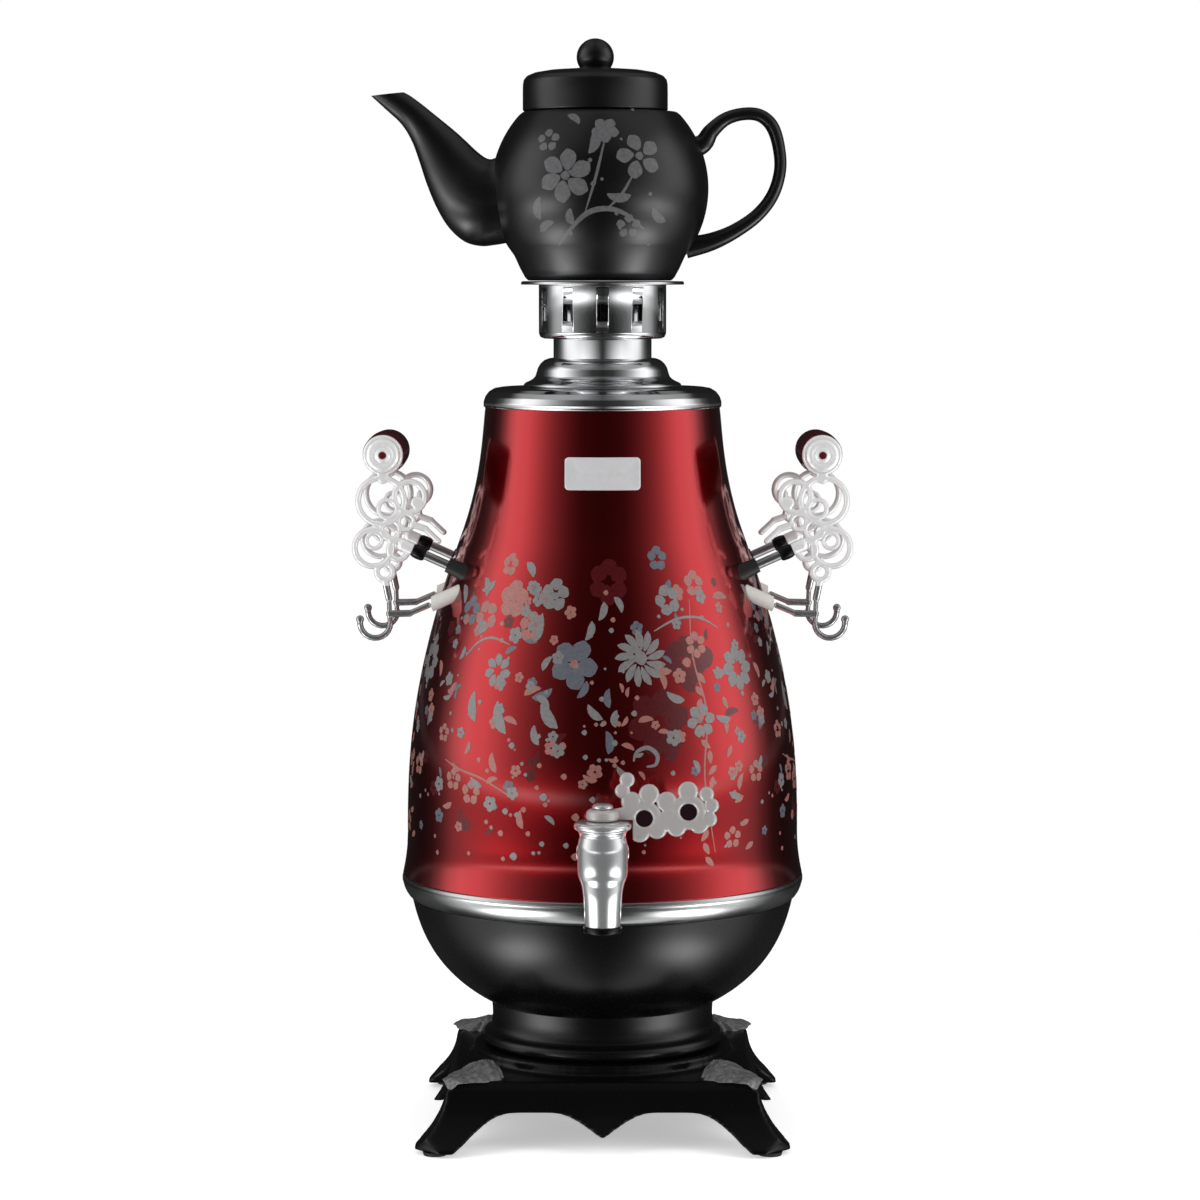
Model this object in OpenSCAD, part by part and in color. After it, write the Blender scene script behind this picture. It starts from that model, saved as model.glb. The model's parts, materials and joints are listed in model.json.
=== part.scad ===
// Electric samovar with a teapot on its crown.
// Millimetres, +Z up, the front with the tap faces -Y, the origin is on the
// floor under the middle of the body.

/* [Body] */
// Radius of the belly
belly_r = 108.9; // [107:0.1:109.5]
// Radius of the body at its shoulder
shoulder_r = 64.7; // [64:0.1:65.2]
// Height of the body's shoulder
shoulder_z = 402.6; // [400:0.1:404]
// Thickness of the body's sheet
sheet = 0.8; // [0.6:0.1:1.2]
// Radius of the filling mouth
mouth_r = 40; // [39.8:0.1:41]

/* [Stand] */
// Half of the stand's width across its toes
toe = 101.8; // [99:0.1:104]
// Half of the stand plate's width
plate_half = 81.6; // [80:0.1:83]
// Top of the stand's plate
plate_z = 38; // [37:0.5:39]
// Radius of the pedestal collar
collar_r = 62; // [61:0.1:62.5]
// Radius of the bead round the collar's foot
bead_r = 66.8; // [66:0.1:68]

/* [Bowl and band] */
// Lower edge of the bowl
bowl_z = 69; // [68.5:0.1:69.5]
// Upper edge of the bowl
bowl_top = 127.7; // [127:0.1:128]
// Upper edge of the trim band, where the body starts
band_top = 141; // [140:0.1:142]
// Largest radius of the trim band
band_r = 112; // [111.9:0.1:113]

/* [Tap] */
// Distance of the tap's column from the body's middle
tap_out = 136; // [134:0.5:140]
// Height of the tap's shank
tap_z = 168; // [166:0.5:170]
// Radius of the outlet's hole
outlet_r = 5.8; // [5:0.1:6]
// Turning play of the plug in its seat
plug_play = 0.06; // [0.03:0.01:0.1]
// Thickness of the lace key
key_t = 3; // [2.5:0.1:4]

/* [Lid and crown] */
// Radius of the lid's neck
neck_r = 27.2; // [26.8:0.1:28]
// Radius of the crown ring
crown_r = 35.3; // [34.8:0.1:36]
// Top of the crown plate, where the teapot stands
seat_z = 470.1; // [469.5:0.1:471]
// Radius of the crown plate
seat_r = 45.1; // [44:0.1:46]
// Number of vents round the crown
vents = 11; // [8:1:12]
// Gap under parts that only rest on each other
rest_gap = 0.3; // [0.2:0.05:0.4]

/* [Teapot] */
// Sideways place of the teapot on the crown
pot_x = -1.5; // [-2:0.5:2]
// Radius of the teapot's ball
ball_r = 60; // [59:0.5:61]
// Height of the ball's middle
ball_z = 521; // [520:0.5:522]
// Wall of the teapot
pot_wall = 3.8; // [3:0.1:4]
// Radius of the teapot's mouth
pot_mouth_r = 34.5; // [34.2:0.1:35]
// Radius of the teapot's lid
lid_drum_r = 40; // [39:0.5:41]
// Radius of the lid's knob
knob_r = 10.3; // [9:0.1:11]

/* [Side handles] */
// Distance of the grips from the body's middle
grip_x = 120; // [118:0.5:123]
// Height of the grips
grip_z = 375.5; // [372:0.5:378]
// Radius of a grip
grip_r = 11.4; // [11:0.1:13]
// Distance of the scroll brackets from the middle plane
bracket_y = 36; // [34:0.5:40]
// Thickness of a scroll bracket
bracket_t = 3.2; // [2.8:0.1:4]
// Width of the scrolls' bars
bar_w = 3.2; // [2.8:0.1:4]

/* [Hidden] */
$fn = 96;
far = 300;
pad_out = 128;
pad_pin_r = 2.9;
leaf_screw_out = 93;
leaf_screw_r = 1.3;
heater_r = 60;
heater_z = 166;
heater_tube_r = 4.2;
heater_ends = [-10, 10];
stud_tilt = 24;
stud_x = 100.5;
stud_z = 322.3;
stud_r = 2.5;
bead_half = 3.8;
foot_z = 2;
step_z = 44.5;
step_r = 72;
rod_r = 4;
tray_z = 146;
tray_t = 1.5;
tray_r = 108.4;
rear_y = 106;
rear_z = 97;
rear_box = [72, 30];
inlet_x = 15;
rocker_x = -18;
rocker_y = 103;
rocker_pin_r = 1.5;
rocker_pin_h = 18.4;
rocker_swing = 18;
inlet_blade_places = [[-7, -2], [0, 2], [7, -2]];
rim_z = 411.6;
crown_z = 438.5;
plate_foot_z = seat_z - 1.9;
vent = [6.3, 9.4];
pot_foot_z = seat_z + rest_gap;
pot_rim_z = 563;
strainer_holes = [[0, 0], [0, 9], [0, -9], [8, 4.5], [8, -4.5], [-8, 4.5], [-8, -4.5]];
spout_sides = 20;
lid_x = pot_x - 2.5;
lid_foot_z = pot_rim_z + rest_gap;
knob_z = 593;
grip_half = bracket_y - bracket_t / 2;
rod_hole_r = 2.05;
bonnet_z = 184;
bonnet_top = 188.6;
stem_top = 195.2;
plug_foot_z = 153;
plug_r = [7.2, 8.4];
eye_web = 0.8;
key_eyes = [[21.8, 189.8], [45, 193.2]];
key_lobes = [[19.5, 182.6], [24.3, 202.6], [34, 189], [33.6, 198.6], [44.7, 204], [50.5, 187.2], [28.4, 184.4],
    [38.6, 185.6], [15, 198.6]];
key_tip_lobes = [[57, 196.6], [54.4, 202.6], [56, 189.4], [12.8, 210.2], [10.4, 204.4]];
nozzle_z = [129, 133];
black = [0.06, 0.06, 0.065];
chrome = [0.82, 0.83, 0.85];
red = [0.55, 0.04, 0.05];

// ---- outlines and shared shapes ------------------------------------------

function bezier(p, n) = [for (i = [0:n]) let (t = i / n, s = 1 - t)
    s * s * s * p[0] + 3 * s * s * t * p[1] + 3 * s * t * t * p[2] + t * t * t * p[3]];

function reversed(v) = [for (i = [len(v) - 1:-1:0]) v[i]];

// A rising line moved towards the axis by the thickness t
function inside(line, t) = [for (i = [0:len(line) - 1])
    let (a = line[max(i - 1, 0)], b = line[min(i + 1, len(line) - 1)], d = (b - a) / norm(b - a))
    line[i] + t * [-d[1], d[0]]];

// Closed outline of a sheet, both of its edges cut level
function sheet_of(line, t) = let (low = line[0][1], high = line[len(line) - 1][1])
    concat(line, reversed([for (p = inside(line, t)) [p[0], min(max(p[1], low), high)]]));

// The body's outer line, from the trim band up to the shoulder
waist = [78.6, 329.5];
body_line = concat(
    [[belly_r + 2.7, band_top], [belly_r + 1.7, band_top + 5], [belly_r + 0.6, band_top + 10.5]],
    bezier([[belly_r, 158], [belly_r, 210], [105.5, 254.9], waist], 18),
    [for (i = [1:14])
        bezier([waist, [66.2, 363.7], [shoulder_r + 2.1, 390], [shoulder_r, shoulder_z]], 14)[i]]);

// The bowl's outer line, from the collar up to the trim band
bowl_line = bezier([[62.7, bowl_z], [97.5, 87.1], [103.2, 113.5], [106.7, bowl_top]], 20);

module turned(points) {
    rotate_extrude() polygon(points);
}

module tube(r, hole, z0, z1) {
    translate([0, 0, z0]) difference() {
        cylinder(r = r, h = z1 - z0);
        translate([0, 0, -1]) cylinder(r = hole, h = z1 - z0 + 2);
    }
}

// Everything inside the body's outer face
module body_core() {
    turned(concat([[0, band_top]], body_line, [[0, shoulder_z]]));
}

module each_corner() {
    for (a = [45:90:315]) rotate([0, 0, a]) children();
}

module mirrored_x() {
    children();
    mirror([1, 0, 0]) children();
}

module mirrored_y() {
    children();
    mirror([0, 1, 0]) children();
}

// ---- stand ------------------------------------------------------------------

leg_edge = bezier([[toe, 4], [94, 11.5], [86, 19], [84.6, 33]], 12);

module stand_prism(edge, low, high, top_half) {
    line = concat([[edge[0][0], low]], edge, [[top_half, high]]);
    rotate([90, 0, 0]) linear_extrude(2 * far, center = true)
        polygon(concat(line, [for (p = reversed(line)) [-p[0], p[1]]]));
}

module stand_solid(edge, low, high, top_half) {
    intersection() {
        stand_prism(edge, low, high, top_half);
        rotate([0, 0, 90]) stand_prism(edge, low, high, top_half);
    }
}

// Opening under one apron: two arches with a point between them
module apron_window() {
    point = bezier([[0, 9.3], [9, 14], [17, 22], [30, 22]], 10);
    leg = bezier([[44, 22], [62, 22], [66, 13], [82, 1]], 10);
    half = concat(point, leg, [[82, -9]]);
    rotate([90, 0, 0]) linear_extrude(2 * far, center = true)
        polygon(concat([for (p = reversed(half)) [-p[0], p[1]]], half));
}

module base_stand() color(black) difference() {
    union() {
        intersection() {
            stand_solid(leg_edge, foot_z, plate_z, plate_half);
            cylinder(r = 135, h = plate_z);
        }
        translate([0, 0, plate_z - 1]) cylinder(r = step_r, h = step_z - plate_z + 1);
    }
    intersection() {
        stand_solid([for (p = leg_edge) p - [6.5, 0]], -9, 33, plate_half - 5);
        translate([0, 0, -9]) cylinder(r = 98, h = 60);
    }
    apron_window();
    rotate([0, 0, 90]) apron_window();
    cylinder(r = rod_r + 0.3, h = 60);
    each_corner() {
        translate([leaf_screw_out, 0, 20]) cylinder(r = leaf_screw_r + 0.4, h = 30);
        translate([pad_out, 0, 0]) cylinder(r = pad_pin_r + 0.1, h = 6);
    }
}

// Leaf that covers one corner of the plate and curls over its edge
module corner_leaf() {
    side = [[85, plate_z], [86, 45], [89, 47], [94, 46.4], [102, 43], [110, 41], [115.5, 40],
        [118, 38], [118.6, 35], [117, 33.5], [116.5, plate_z]];
    plan = [[84, -9], [92, -15], [104, -15], [121, -4], [121, 4], [104, 15], [92, 15], [84, 9]];
    difference() {
        intersection() {
            rotate([90, 0, 0]) linear_extrude(60, center = true) polygon(side);
            linear_extrude(60) polygon(plan);
        }
        cylinder(r = step_r + 0.5, h = 60);
        stand_solid(leg_edge, foot_z, plate_z, plate_half);
        translate([leaf_screw_out, 0, 20]) cylinder(r = leaf_screw_r, h = 23);
    }
}

module corner_leaves() color(black) {
    each_corner() corner_leaf();
}

module leaf_screws() color(chrome) {
    each_corner() translate([leaf_screw_out, 0, 0]) {
        translate([0, 0, 30.5]) cylinder(r = 3, h = 2.5);
        translate([0, 0, 33]) cylinder(r = leaf_screw_r, h = 9);
    }
}

module foot_pads() color([0.1, 0.1, 0.1]) {
    each_corner() translate([pad_out, 0, 0]) {
        cylinder(r1 = 6.2, r2 = 6.8, h = foot_z);
        translate([0, 0, foot_z]) cylinder(r = pad_pin_r, h = 3.5);
    }
}

module pedestal_collar() color(black) {
    turned(sheet_of([[64.5, step_z], [bead_r - 0.6, 46], [bead_r, 48.6], [bead_r - 0.7, 51.4],
        [63.2, 53.4], [collar_r, 56], [collar_r - 0.3, 61], [collar_r + 0.2, bowl_z]], 2.4));
}

// ---- bowl, band and the electrics in them -----------------------------------

module rear_cutter(grow) {
    translate([-rear_box[0] / 2 - grow, 60, rear_z - rear_box[1] / 2 - grow])
        cube([rear_box[0] + 2 * grow, 60, rear_box[1] + 2 * grow]);
}

module base_bowl() color(black) difference() {
    union() {
        turned(sheet_of(bowl_line, 1.2));
        tube(62.5, rod_r + 0.3, bowl_z, bowl_z + 1.6);
        tube(105.9, 97, bowl_top - 1.2, bowl_top);
    }
    rear_cutter(0.1);
}

module trim_band() color(chrome) {
    turned([[105.5, bowl_top + 0.2], [107.2, bowl_top + 0.1], [109.6, 130.8], [111.3, 134.2],
        [band_r, 137.6], [111.7, band_top], [108.6, band_top], [108.2, 139.4], [106.4, 135], [105.5, 131]]);
}

module bowl_gasket() color([0.75, 0.74, 0.72]) {
    tube(105.2, 98, bowl_top, bowl_top + 1.3);
}

module at_rocker() {
    translate([rocker_x, rocker_y, rear_z]) rotate([0, 90, 0]) children();
}

module rear_housing() color(black) difference() {
    translate([-rear_box[0] / 2, 82, rear_z - rear_box[1] / 2])
        cube([rear_box[0], rear_y - 82, rear_box[1]]);
    difference() {
        translate([-rear_box[0] / 2 + 2, 60, rear_z - rear_box[1] / 2 + 2])
            cube([rear_box[0] - 4, rear_y - 62, rear_box[1] - 4]);
        for (x = [-9.2, 6.8]) translate([rocker_x + x, 96, rear_z - 4]) cube([2.4, 10, 8]);
    }
    translate([inlet_x - 13.8, 90, rear_z - 10]) cube([27.6, 30, 20]);
    translate([rocker_x - 6.8, 95, rear_z - 9.8]) cube([13.6, 30, 19.6]);
    at_rocker() cylinder(r = rocker_pin_r, h = rocker_pin_h, center = true);
}

module power_inlet() color([0.04, 0.04, 0.04]) difference() {
    union() {
        translate([inlet_x - 13.7, 86, rear_z - 9.9]) cube([27.4, rear_y - 86, 19.8]);
        translate([inlet_x - 15.5, rear_y, rear_z - 12]) cube([31, 2, 24]);
    }
    translate([inlet_x, 92.5, rear_z]) rotate([-90, 0, 0]) linear_extrude(20)
        polygon([[-12.1, 8.1], [12.1, 8.1], [12.1, -3.6], [7.8, -8.1], [-7.8, -8.1], [-12.1, -3.6]]);
    for (p = inlet_blade_places)
        translate([inlet_x + p[0] - 1, 80, rear_z + p[1] - 2]) cube([2, 20, 4]);
}

module inlet_blades() color([0.8, 0.8, 0.75]) {
    for (p = inlet_blade_places)
        translate([inlet_x + p[0] - 1, 82, rear_z + p[1] - 2]) cube([2, 24, 4]);
}

// The rocker lies with its lower half pressed in
module rocker_switch() color([0.04, 0.04, 0.04]) {
    at_rocker() rotate([0, 0, -rocker_swing / 2]) linear_extrude(12.6, center = true)
        difference() {
            intersection() {
                circle(r = 9.3);
                polygon([[-11, -5], [-11, 3.3], [0, 5.4], [11, 3.3], [11, -5]]);
            }
            circle(r = rocker_pin_r + 0.05);
        }
}

module rocker_pin() color(chrome) {
    at_rocker() cylinder(r = rocker_pin_r, h = rocker_pin_h, center = true);
}

// ---- tank ---------------------------------------------------------------------

module stud_axis() {
    translate([stud_x, 0, stud_z]) rotate([0, 90 - stud_tilt, 0]) children();
}

module each_stud() {
    mirrored_x() mirrored_y() translate([0, bracket_y, 0]) stud_axis() children();
}

module body_shell() color(red) difference() {
    turned(sheet_of(body_line, sheet));
    translate([0, -90, tap_z]) rotate([90, 0, 0]) cylinder(r = 8.1, h = 60);
    each_stud() translate([0, 0, -40]) cylinder(r = stud_r + 0.05, h = 38);
}

// Rolled ring over the shoulder, with a lip round the filling mouth
module rim_ring() color(chrome) {
    turned([[shoulder_r + 0.7, shoulder_z - 2.2], [shoulder_r + 1.3, shoulder_z - 1.4],
        [shoulder_r + 1.3, 404], [64.4, 407.4], [61.5, 410.1], [57, rim_z], [mouth_r + 1.2, rim_z],
        [mouth_r, rim_z - 1.2], [mouth_r, 404], [mouth_r + 1.2, 404], [mouth_r + 1.2, rim_z - 1.2],
        [56.6, rim_z - 1.2], [60.6, 408.8], [62.8, 406.6], [63.6, shoulder_z + 0.2],
        [shoulder_r + 0.3, shoulder_z + 0.2]]);
}

// Plain plate that follows the front of the body
module name_plate() color(chrome) {
    intersection() {
        difference() {
            turned(concat([[0, 340]], [for (p = body_line) if (p[1] > 340 && p[1] < 395) p + [1, 0]],
                [[0, 395]]));
            body_core();
        }
        translate([0, 0, 367]) rotate([90, 0, 0]) linear_extrude(100) {
            square([37, 17.5], center = true);
            square([41, 13.5], center = true);
            for (x = [-18.5, 18.5], z = [-6.75, 6.75]) translate([x, z]) circle(r = 2);
        }
    }
}

module each_heater_end() {
    for (a = heater_ends) rotate([0, 0, 90 + a]) translate([heater_r, 0, 0]) children();
}

module tank_bottom() color(chrome) difference() {
    union() {
        translate([0, 0, tray_z]) cylinder(r = tray_r, h = tray_t);
        tube(tray_r, tray_r - 1.2, tray_z, 152);
        tube(105.2, 103.8, bowl_top + 1.3, tray_z + 0.5);
        tube(105.2, 98, bowl_top + 1.3, bowl_top + 2.7);
    }
    each_heater_end() translate([0, 0, 120]) cylinder(r = heater_tube_r + 0.05, h = 40);
}

// Bent tube heater, both ends turned down through the tank's bottom
module heating_element() color([0.6, 0.6, 0.6]) {
    translate([0, 0, heater_z]) rotate([0, 0, 90 + heater_ends[1]])
        rotate_extrude(angle = 360 - heater_ends[1] + heater_ends[0])
            translate([heater_r, 0]) circle(r = heater_tube_r);
    each_heater_end() translate([0, 0, 130]) cylinder(r = heater_tube_r, h = heater_z - 130);
    each_heater_end() translate([0, 0, heater_z]) sphere(r = heater_tube_r);
}

module heater_nuts() color([0.75, 0.65, 0.3]) difference() {
    each_heater_end() translate([0, 0, tray_z - 6]) cylinder(r = 8, h = 6, $fn = 6);
    each_heater_end() translate([0, 0, 130]) cylinder(r = heater_tube_r, h = 30);
}

module thermostat() color([0.2, 0.2, 0.2]) {
    translate([40, 10, 134]) cylinder(r = 12, h = tray_z - 134);
    for (x = [34, 46]) translate([x - 0.4, 7, 127]) cube([0.8, 6, 7]);
}

module thermal_cutout() color([0.85, 0.8, 0.7]) {
    translate([-40, 0, tray_z - 5]) rotate([90, 0, 0]) cylinder(r = 5, h = 20, center = true);
    translate([-44, -6, tray_z - 5]) cube([8, 12, 5]);
}

module terminal_block() color([0.9, 0.9, 0.85]) difference() {
    translate([-17, 28, tray_z - 14]) cube([34, 14, 14]);
    for (x = [-11, 0, 11]) translate([x, 20, tray_z - 9]) rotate([-90, 0, 0]) cylinder(r = 2, h = 30);
}

module lead(points, r) {
    for (i = [0:len(points) - 2]) {
        d = points[i + 1] - points[i];
        translate(points[i]) rotate([0, acos(d[2] / norm(d)), atan2(d[1], d[0])])
            cylinder(r = r, h = norm(d));
        if (i < len(points) - 2) translate(points[i + 1]) sphere(r = 1.1 * r);
    }
}

module heater_leads() color([0.85, 0.7, 0.2]) {
    for (k = [-1:1]) lead([[inlet_x + 7 * k, 81, rear_z - 2 + 4 * (1 - abs(k))],
        [inlet_x + 7 * k, 70, rear_z + 6], [11 * k, 52, 130], [11 * k, 46, tray_z - 9],
        [11 * k, 36, tray_z - 9]], 1.5);
    lead([[13, 27, tray_z - 9], [24, 20, 130], [34, 10, 125], [34, 10, 126.5]], 1.4);
    lead([[46, 10, 126.5], [52, 20, 122], [14, 50, 124], [10, 56, 128]], 1.4);
    lead([[-13, 27, tray_z - 9], [-26, 20, 132], [-40, 12, tray_z - 6]], 1.4);
}

module tie_rod() color([0.7, 0.7, 0.7]) {
    translate([0, 0, 22]) cylinder(r = rod_r, h = tray_z - 22);
}

module tie_nut() color([0.7, 0.7, 0.7]) difference() {
    union() {
        translate([0, 0, 31.4]) cylinder(r = 14, h = 1.6);
        translate([0, 0, 24.4]) cylinder(r = 7.5, h = 7, $fn = 6);
    }
    cylinder(r = rod_r, h = 60);
}

// ---- tap ------------------------------------------------------------------------

module at_tap() {
    translate([0, -tap_out, 0]) children();
}

// Seat of the plug: a slightly tapered hole, wider at the top
module plug_cone(play) {
    translate([0, 0, plug_foot_z])
        cylinder(r1 = plug_r[0] + play, r2 = plug_r[1] + play, h = bonnet_z - plug_foot_z);
}

module tap_body() color(chrome) difference() {
    union() {
        at_tap() turned([[0, nozzle_z[1]], [9.3, nozzle_z[1]], [9.5, 136], [10.5, 151], [11.3, 155.5],
            [13.1, 160], [13.3, 166], [13.1, 178], [12.2, 181], [13.2, bonnet_z - 1], [13.2, bonnet_z],
            [0, bonnet_z]]);
        translate([0, -tap_out, tap_z]) rotate([-90, 0, 0]) cylinder(r = 8, h = tap_out - 97);
        translate([0, -tap_out + 12, tap_z]) rotate([-90, 0, 0]) cylinder(r1 = 9.5, r2 = 8, h = 6);
        translate([0, -113.6, tap_z]) rotate([-90, 0, 0]) cylinder(r = 14, h = 2.6);
    }
    at_tap() plug_cone(plug_play);
    at_tap() translate([0, 0, 120]) cylinder(r = 6.4, h = 40);
    translate([0, -tap_out, tap_z]) rotate([-90, 0, 0]) cylinder(r = 4.5, h = 60);
}

module tap_nozzle() color([0.08, 0.08, 0.08]) at_tap() difference() {
    turned([[0, nozzle_z[0]], [9.4, nozzle_z[0]], [10.2, 130], [10.2, 132.2], [9.6, nozzle_z[1]],
        [0, nozzle_z[1]]]);
    translate([0, 0, 120]) cylinder(r = outlet_r, h = 20);
}

module tap_bonnet() color(chrome) at_tap() difference() {
    turned([[0, bonnet_z], [14.4, bonnet_z], [15.2, 185], [15.2, 186.8], [13.8, 188.1], [10, bonnet_top],
        [0, bonnet_top]]);
    translate([0, 0, bonnet_z - 1]) cylinder(r = 4.56, h = 12);
}

module tap_gasket() color([0.85, 0.84, 0.8]) translate([0, -111, tap_z]) rotate([-90, 0, 0]) {
    tube(13, 8, 0, 1.6);
}

module tap_lock_nut() color(chrome) difference() {
    translate([0, -106.9, tap_z]) rotate([-90, 0, 0]) cylinder(r = 13, h = 6, $fn = 6);
    translate([0, -120, tap_z]) rotate([-90, 0, 0]) cylinder(r = 8, h = 30);
}

// The plug's side port meets the shank when the key is turned to the front
module tap_plug() color([0.7, 0.6, 0.3]) at_tap() difference() {
    union() {
        translate([0, 0, plug_foot_z + 0.3])
            cylinder(r1 = plug_r[0] + 0.01, r2 = plug_r[1], h = bonnet_z - plug_foot_z - 0.3 - rest_gap);
        cylinder(r = 4.5, h = stem_top);
    }
    translate([0, 0, -1]) cylinder(r = 20, h = plug_foot_z + 1.3);
    translate([0, 0, 120]) cylinder(r = 4.2, h = 55);
    translate([0, 0, tap_z]) rotate([0, -90, 0]) cylinder(r = 4, h = 20);
    translate([0, 0, stem_top - 6.4]) cylinder(r = 1.5, h = 20);
}

module ring2d(x, y, r, w) {
    translate([x, y]) difference() {
        circle(r = r + w / 2);
        circle(r = r - w / 2);
    }
}

module slab2d(a, b, w) {
    d = (b - a) / norm(b - a) * w / 2;
    n = [-d[1], d[0]];
    polygon([a + n, b + n, b - n, a - n]);
    translate(a) circle(d = w);
    translate(b) circle(d = w);
}

// Hub on the plug's stem and a lace plate with two round eyes
module tap_key() color(chrome) at_tap() difference() {
    union() {
        turned([[0, 189], [8.2, 189], [8.8, 190.4], [8.4, 193.6], [6.8, 194.8], [0, 194.8]]);
        rotate([90, 0, 0]) linear_extrude(key_t, center = true) {
            slab2d([5, 191.2], [18, 193.6], 7);
            for (p = key_eyes) translate(p) circle(r = 9.4);
            for (p = key_lobes) translate(p) circle(r = 5.4);
            for (p = key_tip_lobes) translate(p) circle(r = 4);
        }
    }
    cylinder(r = 4.5, h = 220);
    translate([0, 0, 150]) cylinder(r = 15.8, h = 39);
    for (p = key_eyes, side_y = [-1, 1]) translate([p[0], side_y * (eye_web / 2 + 5), p[1]])
        rotate([90, 0, 0]) cylinder(r = 4.3, h = 10, center = true);
}

module key_screw() color(chrome) at_tap() {
    translate([0, 0, stem_top]) turned([[0, 0], [5.4, 0], [5.6, 0.9], [4.4, 2.3], [0, 2.8]]);
    translate([0, 0, stem_top - 6.4]) cylinder(r = 1.5, h = 6.4);
}

// ---- lid and crown ------------------------------------------------------------------

dome_line = [[43.2, 411.9], [43.6, 413], [42.6, 414.1], [39.8, 415.4], [37.6, 417.2], [36.6, 419.6],
    [35.8, 422.2], [34.4, 424.5], [32.2, 426.5], [29.4, 427.6]];

module lid_dome() color(chrome) {
    turned(sheet_of(dome_line, 1.1));
    tube(39.2, 38.1, 401, 414.9);
    tube(29.6, neck_r, 425.6, 427.6);
}

module lid_gasket() color([0.85, 0.84, 0.82]) {
    tube(39.6, 39.2, 405, 408);
}

module lid_neck() color(chrome) {
    tube(neck_r, neck_r - 1.2, 421, crown_z);
    tube(neck_r - 1.2, neck_r - 2.2, crown_z - 2.5, crown_z + 3.5);
}

module crown_ring() color(chrome) difference() {
    turned([[neck_r - 1.2, crown_z], [crown_r - 2, crown_z], [crown_r - 0.6, crown_z + 1],
        [crown_r, crown_z + 3], [crown_r, plate_foot_z], [crown_r - 1, plate_foot_z],
        [crown_r - 1, crown_z + 3.2], [crown_r - 2.2, crown_z + 1.1], [neck_r - 1.2, crown_z + 1.1]]);
    for (i = [0:vents - 1]) rotate([0, 0, 270 + i * 360 / vents])
        translate([crown_r - 4, -vent[0] / 2, 453 - vent[1] / 2]) cube([8, vent[0], vent[1]]);
}

module crown_plate() color(chrome) {
    turned([[24, plate_foot_z], [32.6, plate_foot_z], [32.6, 463.5], [crown_r - 1, 463.5],
        [crown_r - 1, plate_foot_z], [seat_r, plate_foot_z], [seat_r, seat_z - 0.7],
        [seat_r - 0.7, seat_z], [24, seat_z]]);
}

// ---- teapot ---------------------------------------------------------------------------

function ball_arc(r, z0, z1, n) = let (a0 = asin((z0 - ball_z) / r), a1 = asin((z1 - ball_z) / r))
    [for (i = [0:n]) let (a = a0 + (a1 - a0) * i / n) [r * cos(a), ball_z + r * sin(a)]];

module teapot_ball() {
    translate([pot_x, 0, ball_z]) sphere(r = ball_r);
}

module teapot_body() color(black) translate([pot_x, 0, 0]) difference() {
    turned(concat([[0, pot_foot_z + 2], [35.5, pot_foot_z + 2], [36.5, pot_foot_z],
        [39.6, pot_foot_z], [41.6, pot_foot_z + 2]], ball_arc(ball_r, 487.8, 561.6, 22),
        [[42.6, pot_rim_z], [pot_mouth_r + 0.8, pot_rim_z], [pot_mouth_r, 562], [pot_mouth_r, 559.5]],
        ball_arc(ball_r - pot_wall, 559.5, 489, 20), [[38.5, 477], [34, 475.6], [0, 475.2]]));
    for (p = strainer_holes)
        translate([0, p[1], 512 + p[0]]) rotate([0, -90, 0]) cylinder(r = 2.2, h = 80);
}

// Rings of a swept tube: each path row is [x, z, radius across, radius in the plane]
function sweep_point(path, i, a) =
    let (p = [path[i][0], path[i][1]], q0 = path[max(i - 1, 0)], q1 = path[min(i + 1, len(path) - 1)],
        d = [q1[0] - q0[0], q1[1] - q0[1]], n = [-d[1], d[0]] / norm(d))
    [p[0] + n[0] * path[i][3] * cos(a), path[i][2] * sin(a), p[1] + n[1] * path[i][3] * cos(a)];

module sweep(path, sides) {
    last = len(path) - 1;
    points = [for (i = [0:last], k = [0:sides - 1]) sweep_point(path, i, 360 * k / sides)];
    walls = [for (i = [0:last - 1], k = [0:sides - 1]) let (m = (k + 1) % sides)
        [i * sides + k, i * sides + m, (i + 1) * sides + m, (i + 1) * sides + k]];
    ends = [[for (k = [sides - 1:-1:0]) k], [for (k = [0:sides - 1]) last * sides + k]];
    polyhedron(points, concat(walls, ends));
}

// Smooth curve through the rows, with n steps between two of them
function between(a, b, c, d, t) =
    0.5 * (2 * b + t * (c - a) + t * t * (2 * a - 5 * b + 4 * c - d) + t * t * t * (3 * b - a - 3 * c + d));

function spline(rows, n) = let (last = len(rows) - 1) [for (i = [0:last * n])
    let (k = min(floor(i / n), last - 1))
    between(rows[max(k - 1, 0)], rows[k], rows[k + 1], rows[min(k + 2, last)], i / n - k)];

// Spout rows: x and z of its lower line, x and z of its upper line, half its width
spout_rows = [[-53.4, 491, -59, 538, 19.6], [-60, 490.2, -61.4, 537.4, 19.4],
    [-67.5, 489.4, -63.4, 537.8, 19], [-76.5, 492, -66, 539.2, 18], [-85, 499.6, -69.4, 542, 16.3],
    [-91.6, 510.4, -73.8, 546, 14], [-97, 523.3, -79.4, 551, 11.8], [-101, 535.5, -85.8, 556.2, 9.8],
    [-105.1, 546.8, -92.5, 561.6, 8], [-110.8, 556.2, -99.5, 567.2, 6.6],
    [-119.5, 564.4, -105.5, 571.6, 5.6], [-127.8, 572, -109.5, 574, 4.4]];

// Point of a spout row at the angle a, the wall's thickness in from its outer face
function spout_point(row, wall, a) = let (low = [row[0], row[1]], high = [row[2], row[3]],
    mid = (low + high) / 2, arm = (low - high) * (0.5 - wall / norm(high - low)))
    [mid[0] + arm[0] * cos(a), (row[4] - wall) * sin(a), mid[1] + arm[1] * cos(a)];

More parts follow.
